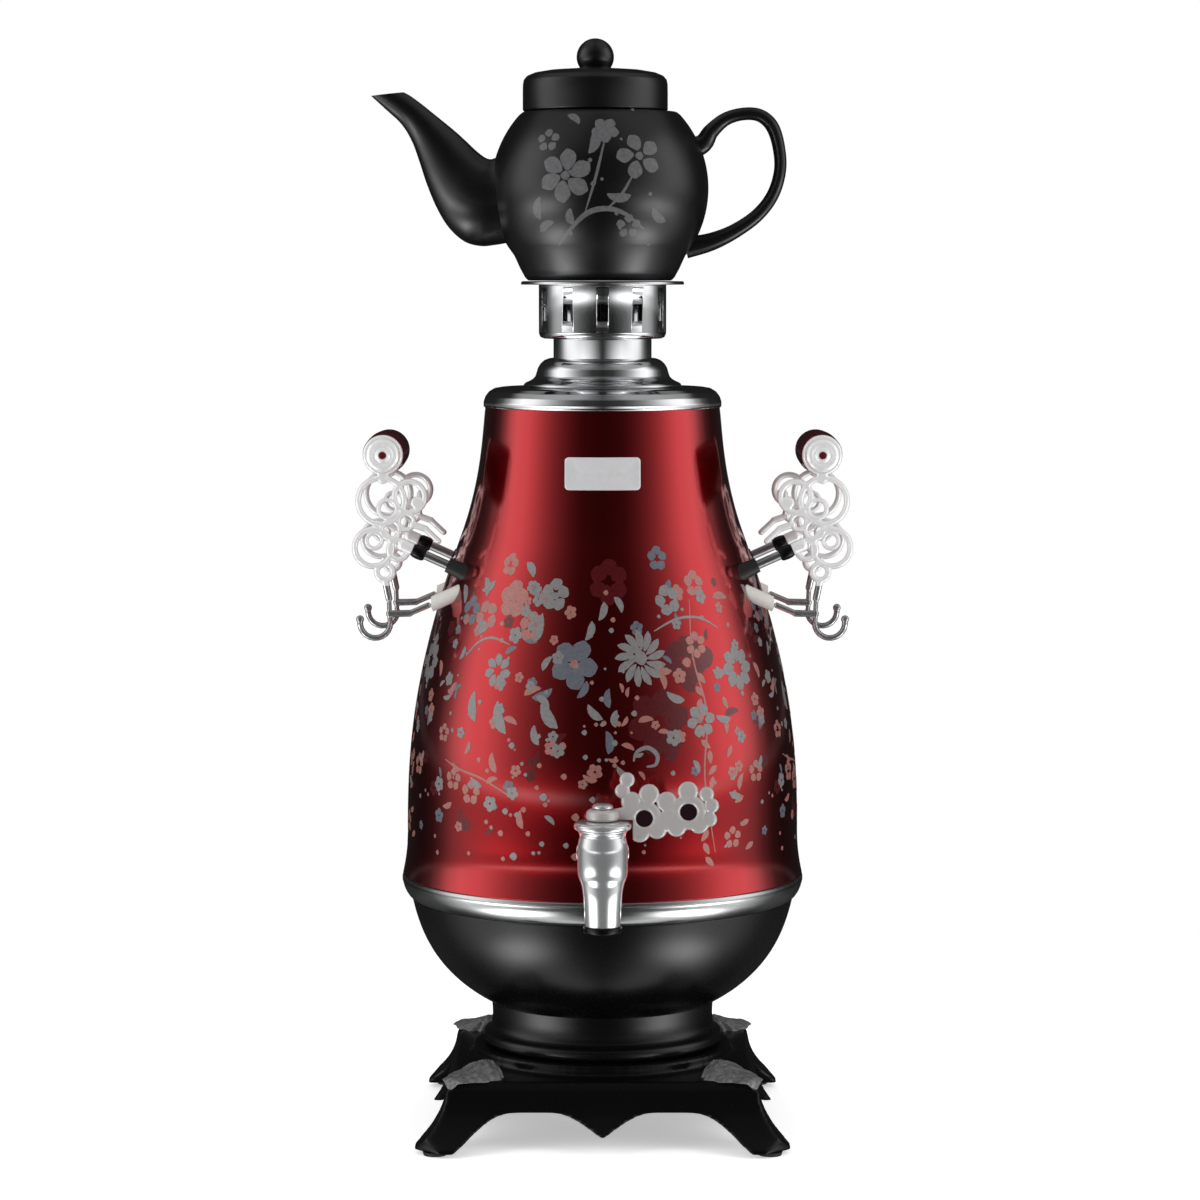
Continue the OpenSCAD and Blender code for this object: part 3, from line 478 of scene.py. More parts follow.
DOME_SHEET = 1.1
DOME_LINE = [(43.2, 411.9), (43.6, 413), (42.6, 414.1), (39.8, 415.4), (37.6, 417.2), (36.6, 419.6),
             (35.8, 422.2), (34.4, 424.5), (32.2, 426.5), (29.4, 427.6)]
NECK = 27.2
dome_top = smooth_line(DOME_LINE, 5)
dome_under = sheet_of(dome_top, DOME_SHEET)[len(dome_top):]
dome_outline = np.vstack([dome_top, [(NECK, 427.6), (NECK, 425.9), (29.2, 425.9)], dome_under[6:-14],
                          [(38.1, 414.6), (38.1, 401), (39.2, 401), (39.2, 411.9)]])
spun("lid_dome_chromed", "lid_dome", dome_outline, 0.3, chrome, "chrome_plate")
neck_outline = [(NECK, 421), (NECK, 438.5), (26, 438.5), (26, 442), (25, 442), (25, 436), (26, 436),
                (26, 421)]
spun("lid_neck_chromed", "lid_neck", neck_outline, 0.25, chrome, "chrome_plate")


# ---- Crown ---------------------------------------------------------------------------
# A chromed drum with eleven oblong vents that lets the steam round the teapot's foot, and
# a thin plate pressed into it that carries the teapot.

VENTS = 11
VENT_W, VENT_H, VENT_Z = 6.3, 9.4, 453
crown_outline = [(26, 438.5), (32.6, 438.5), (34.4, 439.3), (35.2, 441.2), (35.3, 442), (35.3, 468.2),
                 (34.3, 468.2), (34.3, 442), (34, 440.6), (33, 439.6), (26, 439.6)]
crown = spun("crown_drum", "crown_ring", crown_outline, 0.3, chrome, "chrome_plate")
vent_cutters = []
for i in range(VENTS):
    vent = box_mesh((31, -VENT_W / 2, VENT_Z - VENT_H / 2), (39, VENT_W / 2, VENT_Z + VENT_H / 2))
    vent.transform(Matrix.Rotation(math.radians(270 + i * 360 / VENTS), 4, "Z"))
    vent_cutters.append(vent)
cut(crown, vent_cutters)
plate_outline = [(24, 468.2), (32.6, 468.2), (32.6, 463.5), (34.3, 463.5), (34.3, 468.2), (45.1, 468.2),
                 (45.1, 469.6), (44.4, 470.1), (24, 470.1)]
spun("crown_plate_chromed", "crown_plate", plate_outline, 0.25, chrome, "chrome_plate")


# ---- Teapot --------------------------------------------------------------------------
# A ball-shaped pot in black glazed stoneware, thrown in one with its spout and handle.
# It stands loose on the crown, and its foot ring is left flat.

POT_X, BALL, BALL_Z, POT_WALL = -1.5, 60, 521, 3.8
STRAINER_Z, HOLE_R = 512, 2.2
pot_glaze = finish("pot_glaze", (0.001, 0.001, 0.0012), roughness=0.3, wander=0.03, grain=220, ior=1.62)


def ball_line(radius, low, high, steps):
    """Meridian of the teapot's ball between two heights."""
    a = np.linspace(math.asin((low - BALL_Z) / radius), math.asin((high - BALL_Z) / radius), steps + 1)
    return np.column_stack([radius * np.cos(a), BALL_Z + radius * np.sin(a)])


pot_foot = [(0, 472.4), (35.5, 472.4), (36.5, 470.4), (39.6, 470.4), (41.4, 472.2), (44, 477), (47.2, 484)]
pot_outline = np.vstack([pot_foot, ball_line(BALL, 489.5, 561.4, 60),
                         [(42.4, 563), (35.3, 563), (34.5, 562), (34.5, 559.5)],
                         ball_line(BALL - POT_WALL, 489, 559, 40)[::-1],
                         [(38.5, 477.4), (34, 475.6), (0, 475.2)]])
pot = spun("pot_ball", "teapot_body", pot_outline, 0.8, pot_glaze, "black_glaze", around=224,
           at=Matrix.Translation((POT_X, 0, 0)))
strainer = []
for out, up in [(0, 0), (9, 0), (-9, 0), (4.5, 8), (-4.5, 8), (4.5, -8), (-4.5, -8)]:
    along = Matrix.Translation((-80, out, STRAINER_Z + up)) @ Matrix.Rotation(math.radians(90), 4, "Y")
    strainer.append(turned("cutter", [(0, 0), (HOLE_R, 0), (HOLE_R, 60), (0, 60)], around=16, at=along))
cut(pot, strainer)

SPOUT_ROWS = [(-53.4, 491, -59, 538, 19.8), (-59.4, 490, -61.6, 537.2, 19.3),
              (-67.5, 489.4, -64.2, 537.8, 18.9), (-76.5, 492, -67, 539.6, 18),
              (-85, 499.6, -70.4, 542.4, 16.3), (-91.6, 510.4, -74.6, 546.4, 14),
              (-97, 523.3, -79.8, 551.2, 11.8), (-101, 535.5, -85.8, 556.2, 9.8),
              (-105.1, 546.8, -92.5, 561.6, 8), (-110.8, 556.2, -99.5, 567.2, 6.6),
              (-119.5, 564.4, -105.5, 571.6, 5.6), (-127.6, 571.8, -109.5, 573.8, 4.4)]


def skin_rings(rows, thin, sides):
    """Rings round a hollow limb: each row gives its lower and upper points and half its width."""
    last = len(rows) - 1
    rings = []
    for i, (x0, z0, x1, z1, half) in enumerate(rows):
        wall = thin * (2.8 - 1.7 * i / last)
        low, high = np.array((x0, z0)), np.array((x1, z1))
        middle = (low + high) / 2
        arm = (low - high) * (0.5 - wall / np.linalg.norm(high - low))
        a = np.arange(sides) * math.tau / sides
        flat = middle + np.cos(a)[:, None] * arm
        rings.append(np.column_stack([flat[:, 0], (half - wall) * np.sin(a), flat[:, 1]]))
    return np.array(rings)


def limb(name, outer, inner):
    """A mesh between an outer and an inner run of rings, closed at both ends."""
    count, sides = outer.shape[:2]
    size = count * sides
    faces = hoops(count, sides)
    faces += [tuple(size + i for i in face) for face in faces]
    for k in range(sides):
        m = (k + 1) % sides
        faces += [(end + k, end + m, size + end + m, size + end + k) for end in (0, size - sides)]
    return mesh_from(name, np.vstack([outer.reshape(-1, 3), inner.reshape(-1, 3)]), faces)


spout_path = smooth_line(SPOUT_ROWS, 6)
piece("pot_spout", limb("pot_spout", skin_rings(spout_path, 0, 48), skin_rings(spout_path, 1, 48)),
      pot_glaze, "black_glaze", "teapot_spout", crease=60)

HANDLE_ROWS = [(44, 541, 5.6, 6.4), (55, 545.5, 5.2, 5.4), (60, 552.5, 4.8, 4.4), (68, 559.2, 4.6, 3.7),
               (78, 562, 4.7, 3.5), (87, 561, 4.9, 3.6), (93.6, 555, 5, 3.7), (97.2, 544, 4.8, 3.5),
               (98, 531, 4.6, 3.4), (94, 517.5, 4.6, 3.5), (85.5, 506.4, 4.6, 3.7), (73, 497.6, 4.8, 4.1),
               (60, 491.8, 5.4, 5), (46, 488.5, 6, 6)]


def capped(rings, sides):
    """Faces of a solid skin: its hoops and a flat cap on each end."""
    return hoops(rings, sides) + [tuple(range(sides)), tuple((rings - 1) * sides + k for k in range(sides))]


def rod_mesh(name, rows, sides):
    """A solid limb swept along rows of x, z, half width across and half thickness."""
    rows = np.asarray(rows, float)
    side = square_to(rows[:, :2])
    a = np.arange(sides) * math.tau / sides
    oval, flat = (np.abs(wave)**0.9 * np.sign(wave) for wave in (np.cos(a), np.sin(a)))
    verts = np.zeros((len(rows), sides, 3))
    verts[..., 0] = rows[:, None, 0] + side[:, None, 0] * rows[:, None, 3] * oval
    verts[..., 1] = rows[:, None, 2] * flat
    verts[..., 2] = rows[:, None, 1] + side[:, None, 1] * rows[:, None, 3] * oval
    return mesh_from(name, verts.reshape(-1, 3), capped(len(rows), sides))


piece("pot_handle", rod_mesh("pot_handle", smooth_line(HANDLE_ROWS, 8), 32), pot_glaze, "black_glaze",
      "teapot_handle", crease=60)


# ---- Teapot's lid --------------------------------------------------------------------
# A low drum in the same glaze with a ball knob, and a skirt below that keeps it in the
# pot's mouth.

POT_LID_X, KNOB, KNOB_Z = -4, 10.3, 593
knob_angle = np.radians(np.linspace(-34, 90, 32))
knob_line = np.column_stack([KNOB * np.cos(knob_angle), KNOB_Z + KNOB * np.sin(knob_angle)])
knob_line[-1, 0] = 0
lid_top = [(36.4, 563.3), (39.4, 563.3), (40, 564.1), (40, 574), (39.9, 578), (39.4, 580.6), (37.6, 582.7),
           (33.5, 584.4), (26, 585.7), (14, 586.6), (9.4, 586.9)]
lid_skirt = [(0, 583), (24, 582.2), (28.6, 581), (29.4, 579), (29.4, 553), (31, 552.4), (31.8, 553.4),
             (31.8, 577.5), (35, 577.5), (36.4, 576)]
spun("pot_lid", "teapot_lid", np.vstack([lid_top, knob_line, lid_skirt]), 0.5, pot_glaze, "black_glaze",
     at=Matrix.Translation((POT_LID_X, 0, 0)))


# ---- Tap -----------------------------------------------------------------------------
# A chromed brass tap: an upright column with the outlet below, a shank through the
# tank's wall, a bonnet over the plug and a dark plastic nozzle.

TAP_Y, TAP_Z = -136, 168
at_tap = Matrix.Translation((0, TAP_Y, 0))
at_shank = Matrix.Translation((0, TAP_Y, TAP_Z)) @ Matrix.Rotation(math.radians(-90), 4, "X")
column_outer = smooth_line([(9.3, 133), (9.5, 136), (9.9, 143), (10.5, 150), (11.4, 155), (12.8, 159),
                            (13.3, 164), (13.3, 172), (12.9, 177), (12.2, 180.4), (12.6, 182.4),
                            (13.2, 183.4), (13.2, 184)], 4)
column_outline = np.vstack([column_outer, [(8.46, 184), (7.26, 153), (6.4, 153), (6.4, 133)]])
shank_outline = [(4.5, 12.6), (9.4, 12.6), (9.6, 14), (8.2, 19), (8, 21), (8, 22.4), (14, 22.4), (14, 25),
                 (8, 25), (8, 39), (4.5, 39)]


def joined(name, *meshes):
    """One mesh from several."""
    work = bmesh.new()
    for mesh in meshes:
        work.from_mesh(mesh)
    mesh = bpy.data.meshes.new(name)
    work.to_mesh(mesh)
    work.free()
    return mesh


tap_mesh = joined("tap_column", turned("column", eased(column_outline, 0.3), around=96, at=at_tap),
                  turned("shank", eased(shank_outline, 0.5), around=96, at=at_shank))
tap_chrome = finish("tap_chrome", (0.76, 0.77, 0.78), metallic=0.82, roughness=0.1, wander=0.03, grain=120,
                    tone=0.03)
piece("tap_column", tap_mesh, tap_chrome, "chrome_plate", "tap_body")
bonnet_outline = [(4.56, 184), (14.4, 184), (15.2, 185), (15.2, 186.8), (13.8, 188.1), (10, 188.6),
                  (4.56, 188.6)]
spun("tap_bonnet_chromed", "tap_bonnet", bonnet_outline, 0.6, tap_chrome, "chrome_plate", around=96,
     at=at_tap)
nozzle_outline = [(5.8, 129), (9.4, 129), (10.2, 130), (10.2, 132.2), (9.6, 133), (5.8, 133)]
spun("nozzle_ring", "tap_nozzle", nozzle_outline, 0.4, black_moulding, "gloss_black_plastic", around=96,
     at=at_tap)
nut_outline = [(0, 188.8), (1.5, 188.8), (1.5, 195.2), (5.4, 195.2), (5.6, 196.1), (5, 197), (3.4, 197.7),
               (0, 198)]
spun("key_dome_nut", "key_screw", nut_outline, 0.3, tap_chrome, "chrome_plate", around=64, at=at_tap)


# ---- Tap key -------------------------------------------------------------------------
# A lace plate cast in metal and chromed, on a hub that turns the plug under a dome nut.
# Its two eyes are blind cups, each with a dark disc in it that paints the shade inside the cup.


def ring(x, z, r, width):
    """Distance inside a ring's bar."""
    return lambda px, pz: width / 2 - np.abs(np.hypot(px - x, pz - z) - r)


def disc(x, z, r):
    """Distance inside a disc."""
    return lambda px, pz: r - np.hypot(px - x, pz - z)


def bar(a, b, width, end=None):
    """Distance inside a straight bar, which may taper to another width."""
    a, b = np.array(a, float), np.array(b, float)
    run = b - a
    half0, half1 = width / 2, (width if end is None else end) / 2

    def inside(px, pz):
        t = np.clip(((px - a[0]) * run[0] + (pz - a[1]) * run[1]) / (run @ run), 0, 1)
        return half0 + (half1 - half0) * t - np.hypot(px - a[0] - t * run[0], pz - a[1] - t * run[1])

    return inside


def arc(x, z, r, start, stop, width, end=None):
    """A bent bar as a chain of short straight ones."""
    count = max(int(abs(stop - start) / 15), 2)
    a = np.radians(np.linspace(start, stop, count + 1))
    p = np.column_stack([x + r * np.cos(a), z + r * np.sin(a)])
    w = np.linspace(width, width if end is None else end, count + 1)
    return [bar(p[i], p[i + 1], w[i], w[i + 1]) for i in range(count)]


def lace(solids, holes, thick, step, round_off):
    """A cast plate in the X-Z plane round Y=0, full in its middle and rounded to its edges.

    It is sampled on a square grid and its outline is cut where the distance is zero.
    """
    probe = np.arange(-250, 251, 2.0)
    gx, gz = np.meshgrid(probe, probe + 250, indexing="ij")

    def depth(px, pz):
        inside = np.full(px.shape, -99.0)
        for solid in solids:
            inside = np.maximum(inside, solid(px, pz))
        for hole in holes:
            inside = np.minimum(inside, -hole(px, pz))
        return inside

    hit = depth(gx, gz) > -3
    x0, x1 = gx[hit].min() - 3, gx[hit].max() + 3
    z0, z1 = gz[hit].min() - 3, gz[hit].max() + 3
    xs, zs = np.arange(x0, x1, step), np.arange(z0, z1, step)
    px, pz = np.meshgrid(xs, zs, indexing="ij")
    d = depth(px, pz)
    d[np.abs(d) < step * 0.02] = step * 0.02
    verts, faces, seen = [], [], {}

    def height(value):
        v = min(max(value, 0), round_off)
        return thick / 2 * math.sqrt(max(1 - (1 - v / round_off) ** 2, 0))

    def corner(i, k, side):
        key = (i, k, side)
        if key not in seen:
            seen[key] = len(verts)
            verts.append((px[i, k], side * height(d[i, k]), pz[i, k]))
        return seen[key]

    def edge(i, k, j, m):
        key = (min((i, k), (j, m)), max((i, k), (j, m)))
        if key not in seen:
            t = d[i, k] / (d[i, k] - d[j, m])
            seen[key] = len(verts)
            verts.append((px[i, k] + t * (px[j, m] - px[i, k]), 0, pz[i, k] + t * (pz[j, m] - pz[i, k])))
        return seen[key]

    square = ((0, 0), (1, 0), (1, 1), (0, 1))
    alive = np.argwhere((d[:-1, :-1] > 0) | (d[1:, :-1] > 0) | (d[:-1, 1:] > 0) | (d[1:, 1:] > 0))
    for i, k in alive:
        for side in (-1, 1):
            loop = []
            for (a, b), (c, e) in zip(square, square[1:] + square[:1]):
                here, there = d[i + a, k + b] > 0, d[i + c, k + e] > 0
                if here:
                    loop.append(corner(i + a, k + b, side))
                if here != there:
                    loop.append(edge(i + a, k + b, i + c, k + e))
            if len(loop) > 2:
                faces.append(tuple(loop if side < 0 else loop[::-1]))
    return verts, faces


KEY_EYES, CUP_R = [(21.8, 189.8), (45, 193.2)], 4.3
KEY_LOBES = [(19.5, 182.6), (24.3, 202.6), (34, 189), (33.6, 198.6), (44.7, 204), (50.5, 187.2),
             (28.4, 184.4), (38.6, 185.6), (15, 198.6)]
KEY_TIPS = [(57, 196.6), (54.4, 202.6), (56, 189.4), (12.8, 210.2), (10.4, 204.4)]


def beside_hub(px, pz):
    """Distance inside the room that the hub and the bonnet take up."""
    return np.maximum(4.6 - px, np.minimum(15.8 - px, 189 - pz))


key_solids = [bar((5, 191.2), (18, 193.6), 7)] + [disc(x, z, 9.4) for x, z in KEY_EYES]
key_solids += [disc(x, z, 5.4) for x, z in KEY_LOBES] + [disc(x, z, 4) for x, z in KEY_TIPS]
key_holes = [disc(x, z, CUP_R) for x, z in KEY_EYES] + [beside_hub]
key_verts, key_faces = lace(key_solids, key_holes, thick=3, step=0.5, round_off=2.4)
key_plate = mesh_from("plate", np.array(key_verts) + np.array((0, TAP_Y, 0)), key_faces)
hub_outline = [(4.5, 189), (8.2, 189), (8.8, 190.4), (8.4, 193.6), (6.8, 194.8), (4.5, 194.8)]
hub = turned("hub", eased(hub_outline, 0.5), around=64, at=at_tap)
satin_chrome = finish("satin_chrome", (0.5, 0.48, 0.47), metallic=0.45, roughness=0.34, grain=500,
                      relief=0.04, tone=0.06)
piece("tap_key_lace", joined("tap_key_lace", key_plate, hub), satin_chrome, "chrome_plate", "tap_key",
      crease=60)
along_y = Matrix.Rotation(math.radians(90), 4, "X")
# A near-black disc in each eye's cup: painted shade, where the eyes look dark.
eye_shade_discs = []
for x, z in KEY_EYES:
    at_eye = Matrix.Translation((x, TAP_Y, z)) @ along_y
    eye_shade_discs.append(turned("drop", [(0, -0.4), (4.4, -0.4), (4.4, 0.4), (0, 0.4)], around=48,
                               at=at_eye))
# The discs' near-black finish paints the shade in the eyes.
eye_shade_paint = finish("eye_shade_paint", (0.012, 0.004, 0.007), roughness=0.2, grain=400)
piece("key_eye_shade_discs", joined("key_eye_shade_discs", *eye_shade_discs), eye_shade_paint, "gloss_black_plastic",
      body="tap_key")


# ---- Side handles --------------------------------------------------------------------
# Two grips of dark red plastic, each on a steel rod between two scroll brackets cast in one
# flat lace and chromed, with a bright cap and a red pin on each end. The lower arms take a
# darker chrome as painted shade, and black beads keep the heat of the studs off the castings.

GRIP_X, GRIP_Z, GRIP_R = 120, 375.5, 11.4
BRACKET_Y, BRACKET_T, BAR = 36, 3.2, 3.2
# Height below which the brackets' faces take the darker chrome: painted shade on the lower arms.
PAINTED_SHADE_BELOW = 304
SCROLL_RINGS = [(1, 350.4, 12.6, 0), (-14.4, 352.6, 8.4, 0), (-2.4, 346, 5, 0.6), (5.4, 324.8, 10.2, 0),
                (5, 328.6, 4.2, 0.8), (-4, 334.6, 5, 0.4), (-8.2, 323.6, 5.2, 0), (-12.6, 339, 4.2, 0.6),
                (-0.8, 311.5, 4.4, 0)]
SCROLL_BARS = [((120, 366.5), (120, 363), 6.4), ((104, 337.6), (97, 335.2), 3.6),
               ((97, 335.2), (89.8, 328.4), 3.2), ((119, 307), (117, 297), 3.8),
               ((117, 297), (116.5, 283), 2.6), ((116.8, 288.5), (105.7, 288.8), 3.8),
               ((105.7, 288.8), (95.4, 293.2), 3.2)]
scroll = [disc(GRIP_X, GRIP_Z, 11), disc(GRIP_X - 18.6, 349.4, 3.6), disc(132.9, 285.5, 2.2)]
scroll += arc(124.6, 283.5, 8.3, 180, 372, BAR)
scroll += [ring(GRIP_X + out, up, r, BAR - slim) for out, up, r, slim in SCROLL_RINGS]
scroll += [bar(a, b, width) for a, b, width in SCROLL_BARS]
bracket_verts, bracket_faces = lace(scroll, [], thick=BRACKET_T, step=0.5, round_off=1.6)
at_stud = Matrix.Translation((100.5, 0, 322.3)) @ Matrix.Rotation(math.radians(66), 4, "Y")
lug_outline = [(0, 3.8), (3.6, 3.8), (3.6, 10.5), (2.6, 12.3), (0, 12.3)]
lug = turned("lug", eased(lug_outline, 0.5), around=48, at=at_stud)


def mirrored(mesh, side_x, shift_y):
    """A copy of a mesh moved along Y and, for the left side, mirrored."""
    made = mesh.copy()
    made.transform(Matrix.Translation((0, shift_y * MM, 0)))
    if side_x < 0:
        made.transform(Matrix.Diagonal((-1, 1, 1, 1)))
        made.flip_normals()
    return made


bracket_mesh = joined("bracket", mesh_from("bracket", bracket_verts, bracket_faces), lug)
# Faces low on the brackets get the second, darker chrome, which paints the shade on the lower arms.
for face in bracket_mesh.polygons:
    face.material_index = int(face.center.z < PAINTED_SHADE_BELOW * MM)
bead = turned("bead", [(2.5, -3.8), (3.2, -3.8), (3.8, -2.4), (4, 0), (3.8, 2.4), (3.2, 3.8), (2.5, 3.8)],
              around=48, at=at_stud)
cap_outline = [(0, 0), (8.9, 0), (9.3, 0.9), (8.7, 2.3), (7.4, 3.1), (6, 3.3), (5, 2.9), (4.2, 2.8),
               (3, 3.5), (2.3, 3.7), (2.2, 3.2), (0, 3.2)]
pin_outline = [(0, 3), (2.1, 3), (1.8, 3.7), (0, 3.9)]
grip_half = [(GRIP_R + 0.5, 0), (GRIP_R + 0.3, 15), (GRIP_R, 30.4), (GRIP_R - 0.4, 33.2),
             (GRIP_R - 1.6, 34.4), (2.05, 34.4)]
grip_outline = [(r, -up) for r, up in grip_half[:0:-1]] + grip_half
cast_chrome = finish("cast_chrome", (0.9, 0.9, 0.9), metallic=0.4, roughness=0.32, wander=0.05, grain=500,
                     relief=0.03, tone=0.05)
# A duller, darker chrome for the lower arms, where it paints the shade that falls there.
painted_shade_chrome = finish("painted_shade_chrome", (0.55, 0.56, 0.57), metallic=0.9, roughness=0.24, wander=0.06,
                     grain=500, relief=0.03, tone=0.1)
grip_red = finish("grip_red", (0.09, 0.003, 0.008), roughness=0.14, wander=0.03, grain=90, tone=0.4,
                  coat=0.5)
caps, pins, beads = [], [], []
for side_x, side in ((-1, "left"), (1, "right")):
    for side_y, end in ((-1, "front"), (1, "rear")):
        bracket = mirrored(bracket_mesh, side_x, side_y * BRACKET_Y)
        casting = piece(f"scroll_{side}_{end}", bracket, cast_chrome, "cast_chrome",
                        f"bracket_{side}_{end}", crease=60)
        casting.data.materials.append(painted_shade_chrome)
        at_face = Matrix.Translation((side_x * GRIP_X, side_y * (BRACKET_Y + BRACKET_T / 2), GRIP_Z))
        outwards = at_face @ Matrix.Rotation(math.radians(-90 * side_y), 4, "X")
        caps.append(turned("cap", eased(cap_outline, 0.2), around=64, at=outwards))
        pins.append(turned("pin", pin_outline, around=32, at=outwards))
        beads.append(mirrored(bead, side_x, side_y * BRACKET_Y))
    spun(f"grip_bar_{side}", f"grip_{side}", grip_outline, 0.6, grip_red, "dark_red_plastic", around=96,
         at=Matrix.Translation((side_x * GRIP_X, 0, GRIP_Z)) @ along_y)
piece("grip_end_caps", joined("grip_end_caps", *caps), cast_chrome, "chrome_plate", "grip_caps")
piece("grip_end_pins", joined("grip_end_pins", *pins), grip_red, "dark_red_plastic", body="root")
piece("heat_beads", joined("heat_beads", *beads), black_moulding, "black_plastic", "stud_beads")


# ---- Name plate ----------------------------------------------------------------------
# A bare plate of satin aluminium with a raised border, stamped and bent to the body's
# curve and glued to its front.

PLATE_W, PLATE_H, PLATE_Z, PLATE_CORNER = 41, 17.5, 367, 2.2
PLATE_RINGS = [(1, 0), (1, 0.75), (0.985, 0.95), (0.94, 0.95), (0.925, 0.7), (0.6, 0.7), (0.3, 0.7),
               (0.02, 0.7)]


def body_radius(z):
    """Radius of the body's outer face at a height."""
    return np.interp(z, BODY_LINE[:, 1], BODY_LINE[:, 0])


def on_body(across, up, lift):
    """Point of the body's front at a distance across and a height, lifted off its face."""
    r = body_radius(up)
    angle = across / r
    return ((r + lift) * math.sin(angle), -(r + lift) * math.cos(angle), up)


def name_plate_mesh():
    """A curved plate with rounded corners, whose rim stands a little above its field."""
    half_w, half_h = PLATE_W / 2, PLATE_H / 2
    outline = []
    for cx, cz, start in ((1, 1, 0), (-1, 1, 90), (-1, -1, 180), (1, -1, 270)):
        for a in np.radians(np.linspace(start, start + 90, 9)):
            outline.append((cx * (half_w - PLATE_CORNER) + PLATE_CORNER * math.cos(a),
                            cz * (half_h - PLATE_CORNER) + PLATE_CORNER * math.sin(a)))
    dense = []
    for (x0, z0), (x1, z1) in zip(outline, outline[1:] + outline[:1]):
        count = max(int(math.hypot(x1 - x0, z1 - z0) / 1.5), 1)
        dense += [(x0 + (x1 - x0) * k / count, z0 + (z1 - z0) * k / count) for k in range(count)]
    verts = []
    for share, lift in PLATE_RINGS:
        inset = (1 - share) * half_w
        for x, z in dense:
            sx = x * (half_w - inset) / half_w
            sz = z * max(half_h - inset, 0.02 * PLATE_H) / half_h
            verts.append(on_body(sx, PLATE_Z + sz, lift))
    return mesh_from("badge", verts, capped(len(PLATE_RINGS), len(dense)))


satin_silver = finish("satin_silver", (0.62, 0.62, 0.63), metallic=0.3, roughness=0.45, wander=0.06,
                      grain=400, tone=0.06)
piece("badge_plate", name_plate_mesh(), satin_silver, "silver_plate", "name_plate")


# ---- Print on the body ---------------------------------------------------------------
# Sprays of small flowers, leaves and dots, screened on the red coat in grey, blue-grey,
# pink and dark red inks and fired. The same spray runs three times round the belly.


def blade(x, z, turn, near, far, wide, curl=0.0):
    """A petal or leaf: its middle line from near to far of a point, and half its width along it."""
    a = np.radians(turn + np.linspace(-0.5, 0.5, 7) * curl)
    t = np.linspace(near, far, 7)
    line = np.column_stack([x + t * np.cos(a), z + t * np.sin(a)])
    return line, wide * np.array((0.16, 0.58, 0.84, 0.98, 1, 0.74, 0.12))


def flower(x, z, r, petals, wide, turn=90.0, heart=0.3):
    """Petals round a point."""
    return [blade(x, z, turn + 360 * k / petals, heart * r, r, wide, curl=14) for k in range(petals)]


def dot(x, z, r):
    """A round dab."""
    return blade(x - r, z, 0, 0, 2 * r, r)


def stem(points, wide):
    """A thin line that tapers to its ends."""
    line = smooth_line(points, 5)
    return line, wide * (0.35 + 0.65 * np.sin(np.linspace(0, math.pi, len(line))))


def printed(name, marks, place, lift, ink, body):
    """Ink marks as thin closed skins that lie on a face; place turns flat points into points of it."""
    verts, faces, start = [], [], 0
    across = np.linspace(-1, 1, 5)
    for line, half in marks:
        out = square_to(line) * half[:, None]
        flat = (line[:, None] + across[None, :, None] * out[:, None]).reshape(-1, 2)
        skin, quads = closed_sheet(place(flat, lift), place(flat, -0.1), len(line), len(across))
        verts.append(skin)
        faces += [tuple(start + i for i in quad) for quad in quads]
        start += len(skin)
    return piece(name, mesh_from(name, np.vstack(verts), faces), ink, "silver_plate", body=body)


def on_belly(flat, lift):
    """Points on the body; a mark keeps its true width wherever it stands."""
    middle = flat[:, 0].mean()
    r = body_radius(flat[:, 1])
    angle = middle / BELLY + (flat[:, 0] - middle) / r
    return np.column_stack([(r + lift) * np.sin(angle), -(r + lift) * np.cos(angle), flat[:, 1]])


SPRAY_HALF = 112
luck = np.random.default_rng(11)
grey_marks = flower(23, 270, 15, 13, 2) + [dot(23, 270, 3.6)]
grey_marks += flower(90, 262, 12, 8, 3.2) + flower(58, 236, 9, 6, 2.8, turn=70)
grey_marks += flower(-32, 303, 8.5, 5, 3.6)
grey_marks += flower(44, 300, 8, 5, 3.4, turn=40) + flower(-66, 262, 9, 7, 2.3)
grey_leaves = [(-81, 250, -96, 16, 3), (-63, 246, -84, 18, 3.2), (-34, 248, -75, 17, 3.2),
               (-8, 246, -60, 11, 2.2), (8, 243, -110, 9, 2), (-2, 290, 60, 10, 2), (12, 294, 100, 9, 1.8),
               (38, 252, -40, 11, 2.2), (70, 262, -20, 9, 2), (-50, 312, 110, 9, 2.2)]
grey_marks += [blade(x, z, turn, 0, long, wide, curl=30) for x, z, turn, long, wide in grey_leaves]
grey_marks += [stem([(-92, 268), (-84, 276), (-74, 279), (-62, 276)], 0.7),
               stem([(36, 284), (50, 290), (64, 290), (76, 284)], 0.7),
               stem([(17, 216), (19, 221), (25, 223), (30, 219), (29, 214), (24, 213)], 1.2)]
blue_marks = flower(-17, 267, 13.5, 5, 5, turn=60, heart=0.16)
blue_marks += flower(40, 322, 6.5, 5, 2.6) + flower(-98, 292, 8, 5, 3.2)
blue_leaves = [(-42, 278, 160), (-30, 254, -140), (2, 232, -70), (104, 240, -80)]
blue_marks += [blade(x, z, turn, 0, 12, 2.4, curl=-30) for x, z, turn in blue_leaves]
pink_marks = flower(-62, 300, 10, 5, 4.4, heart=0.2) + flower(-82, 290, 8.5, 5, 3.6, turn=50)
pink_marks += flower(-46, 286, 8, 5, 3.2, turn=20)
for x, z, r, petals, wide in [(66, 308, 7, 5, 3), (60, 276, 7, 6, 2.2), (-70, 318, 6, 5, 2.6),
                              (96, 206, 6, 5, 2.4), (-92, 202, 6, 5, 2.4), (-78, 196, 6.5, 5, 2.7),
                              (-104, 226, 5, 5, 2), (76, 172, 6, 5, 2.2)]:
    pink_marks += flower(x, z, r, petals, wide)
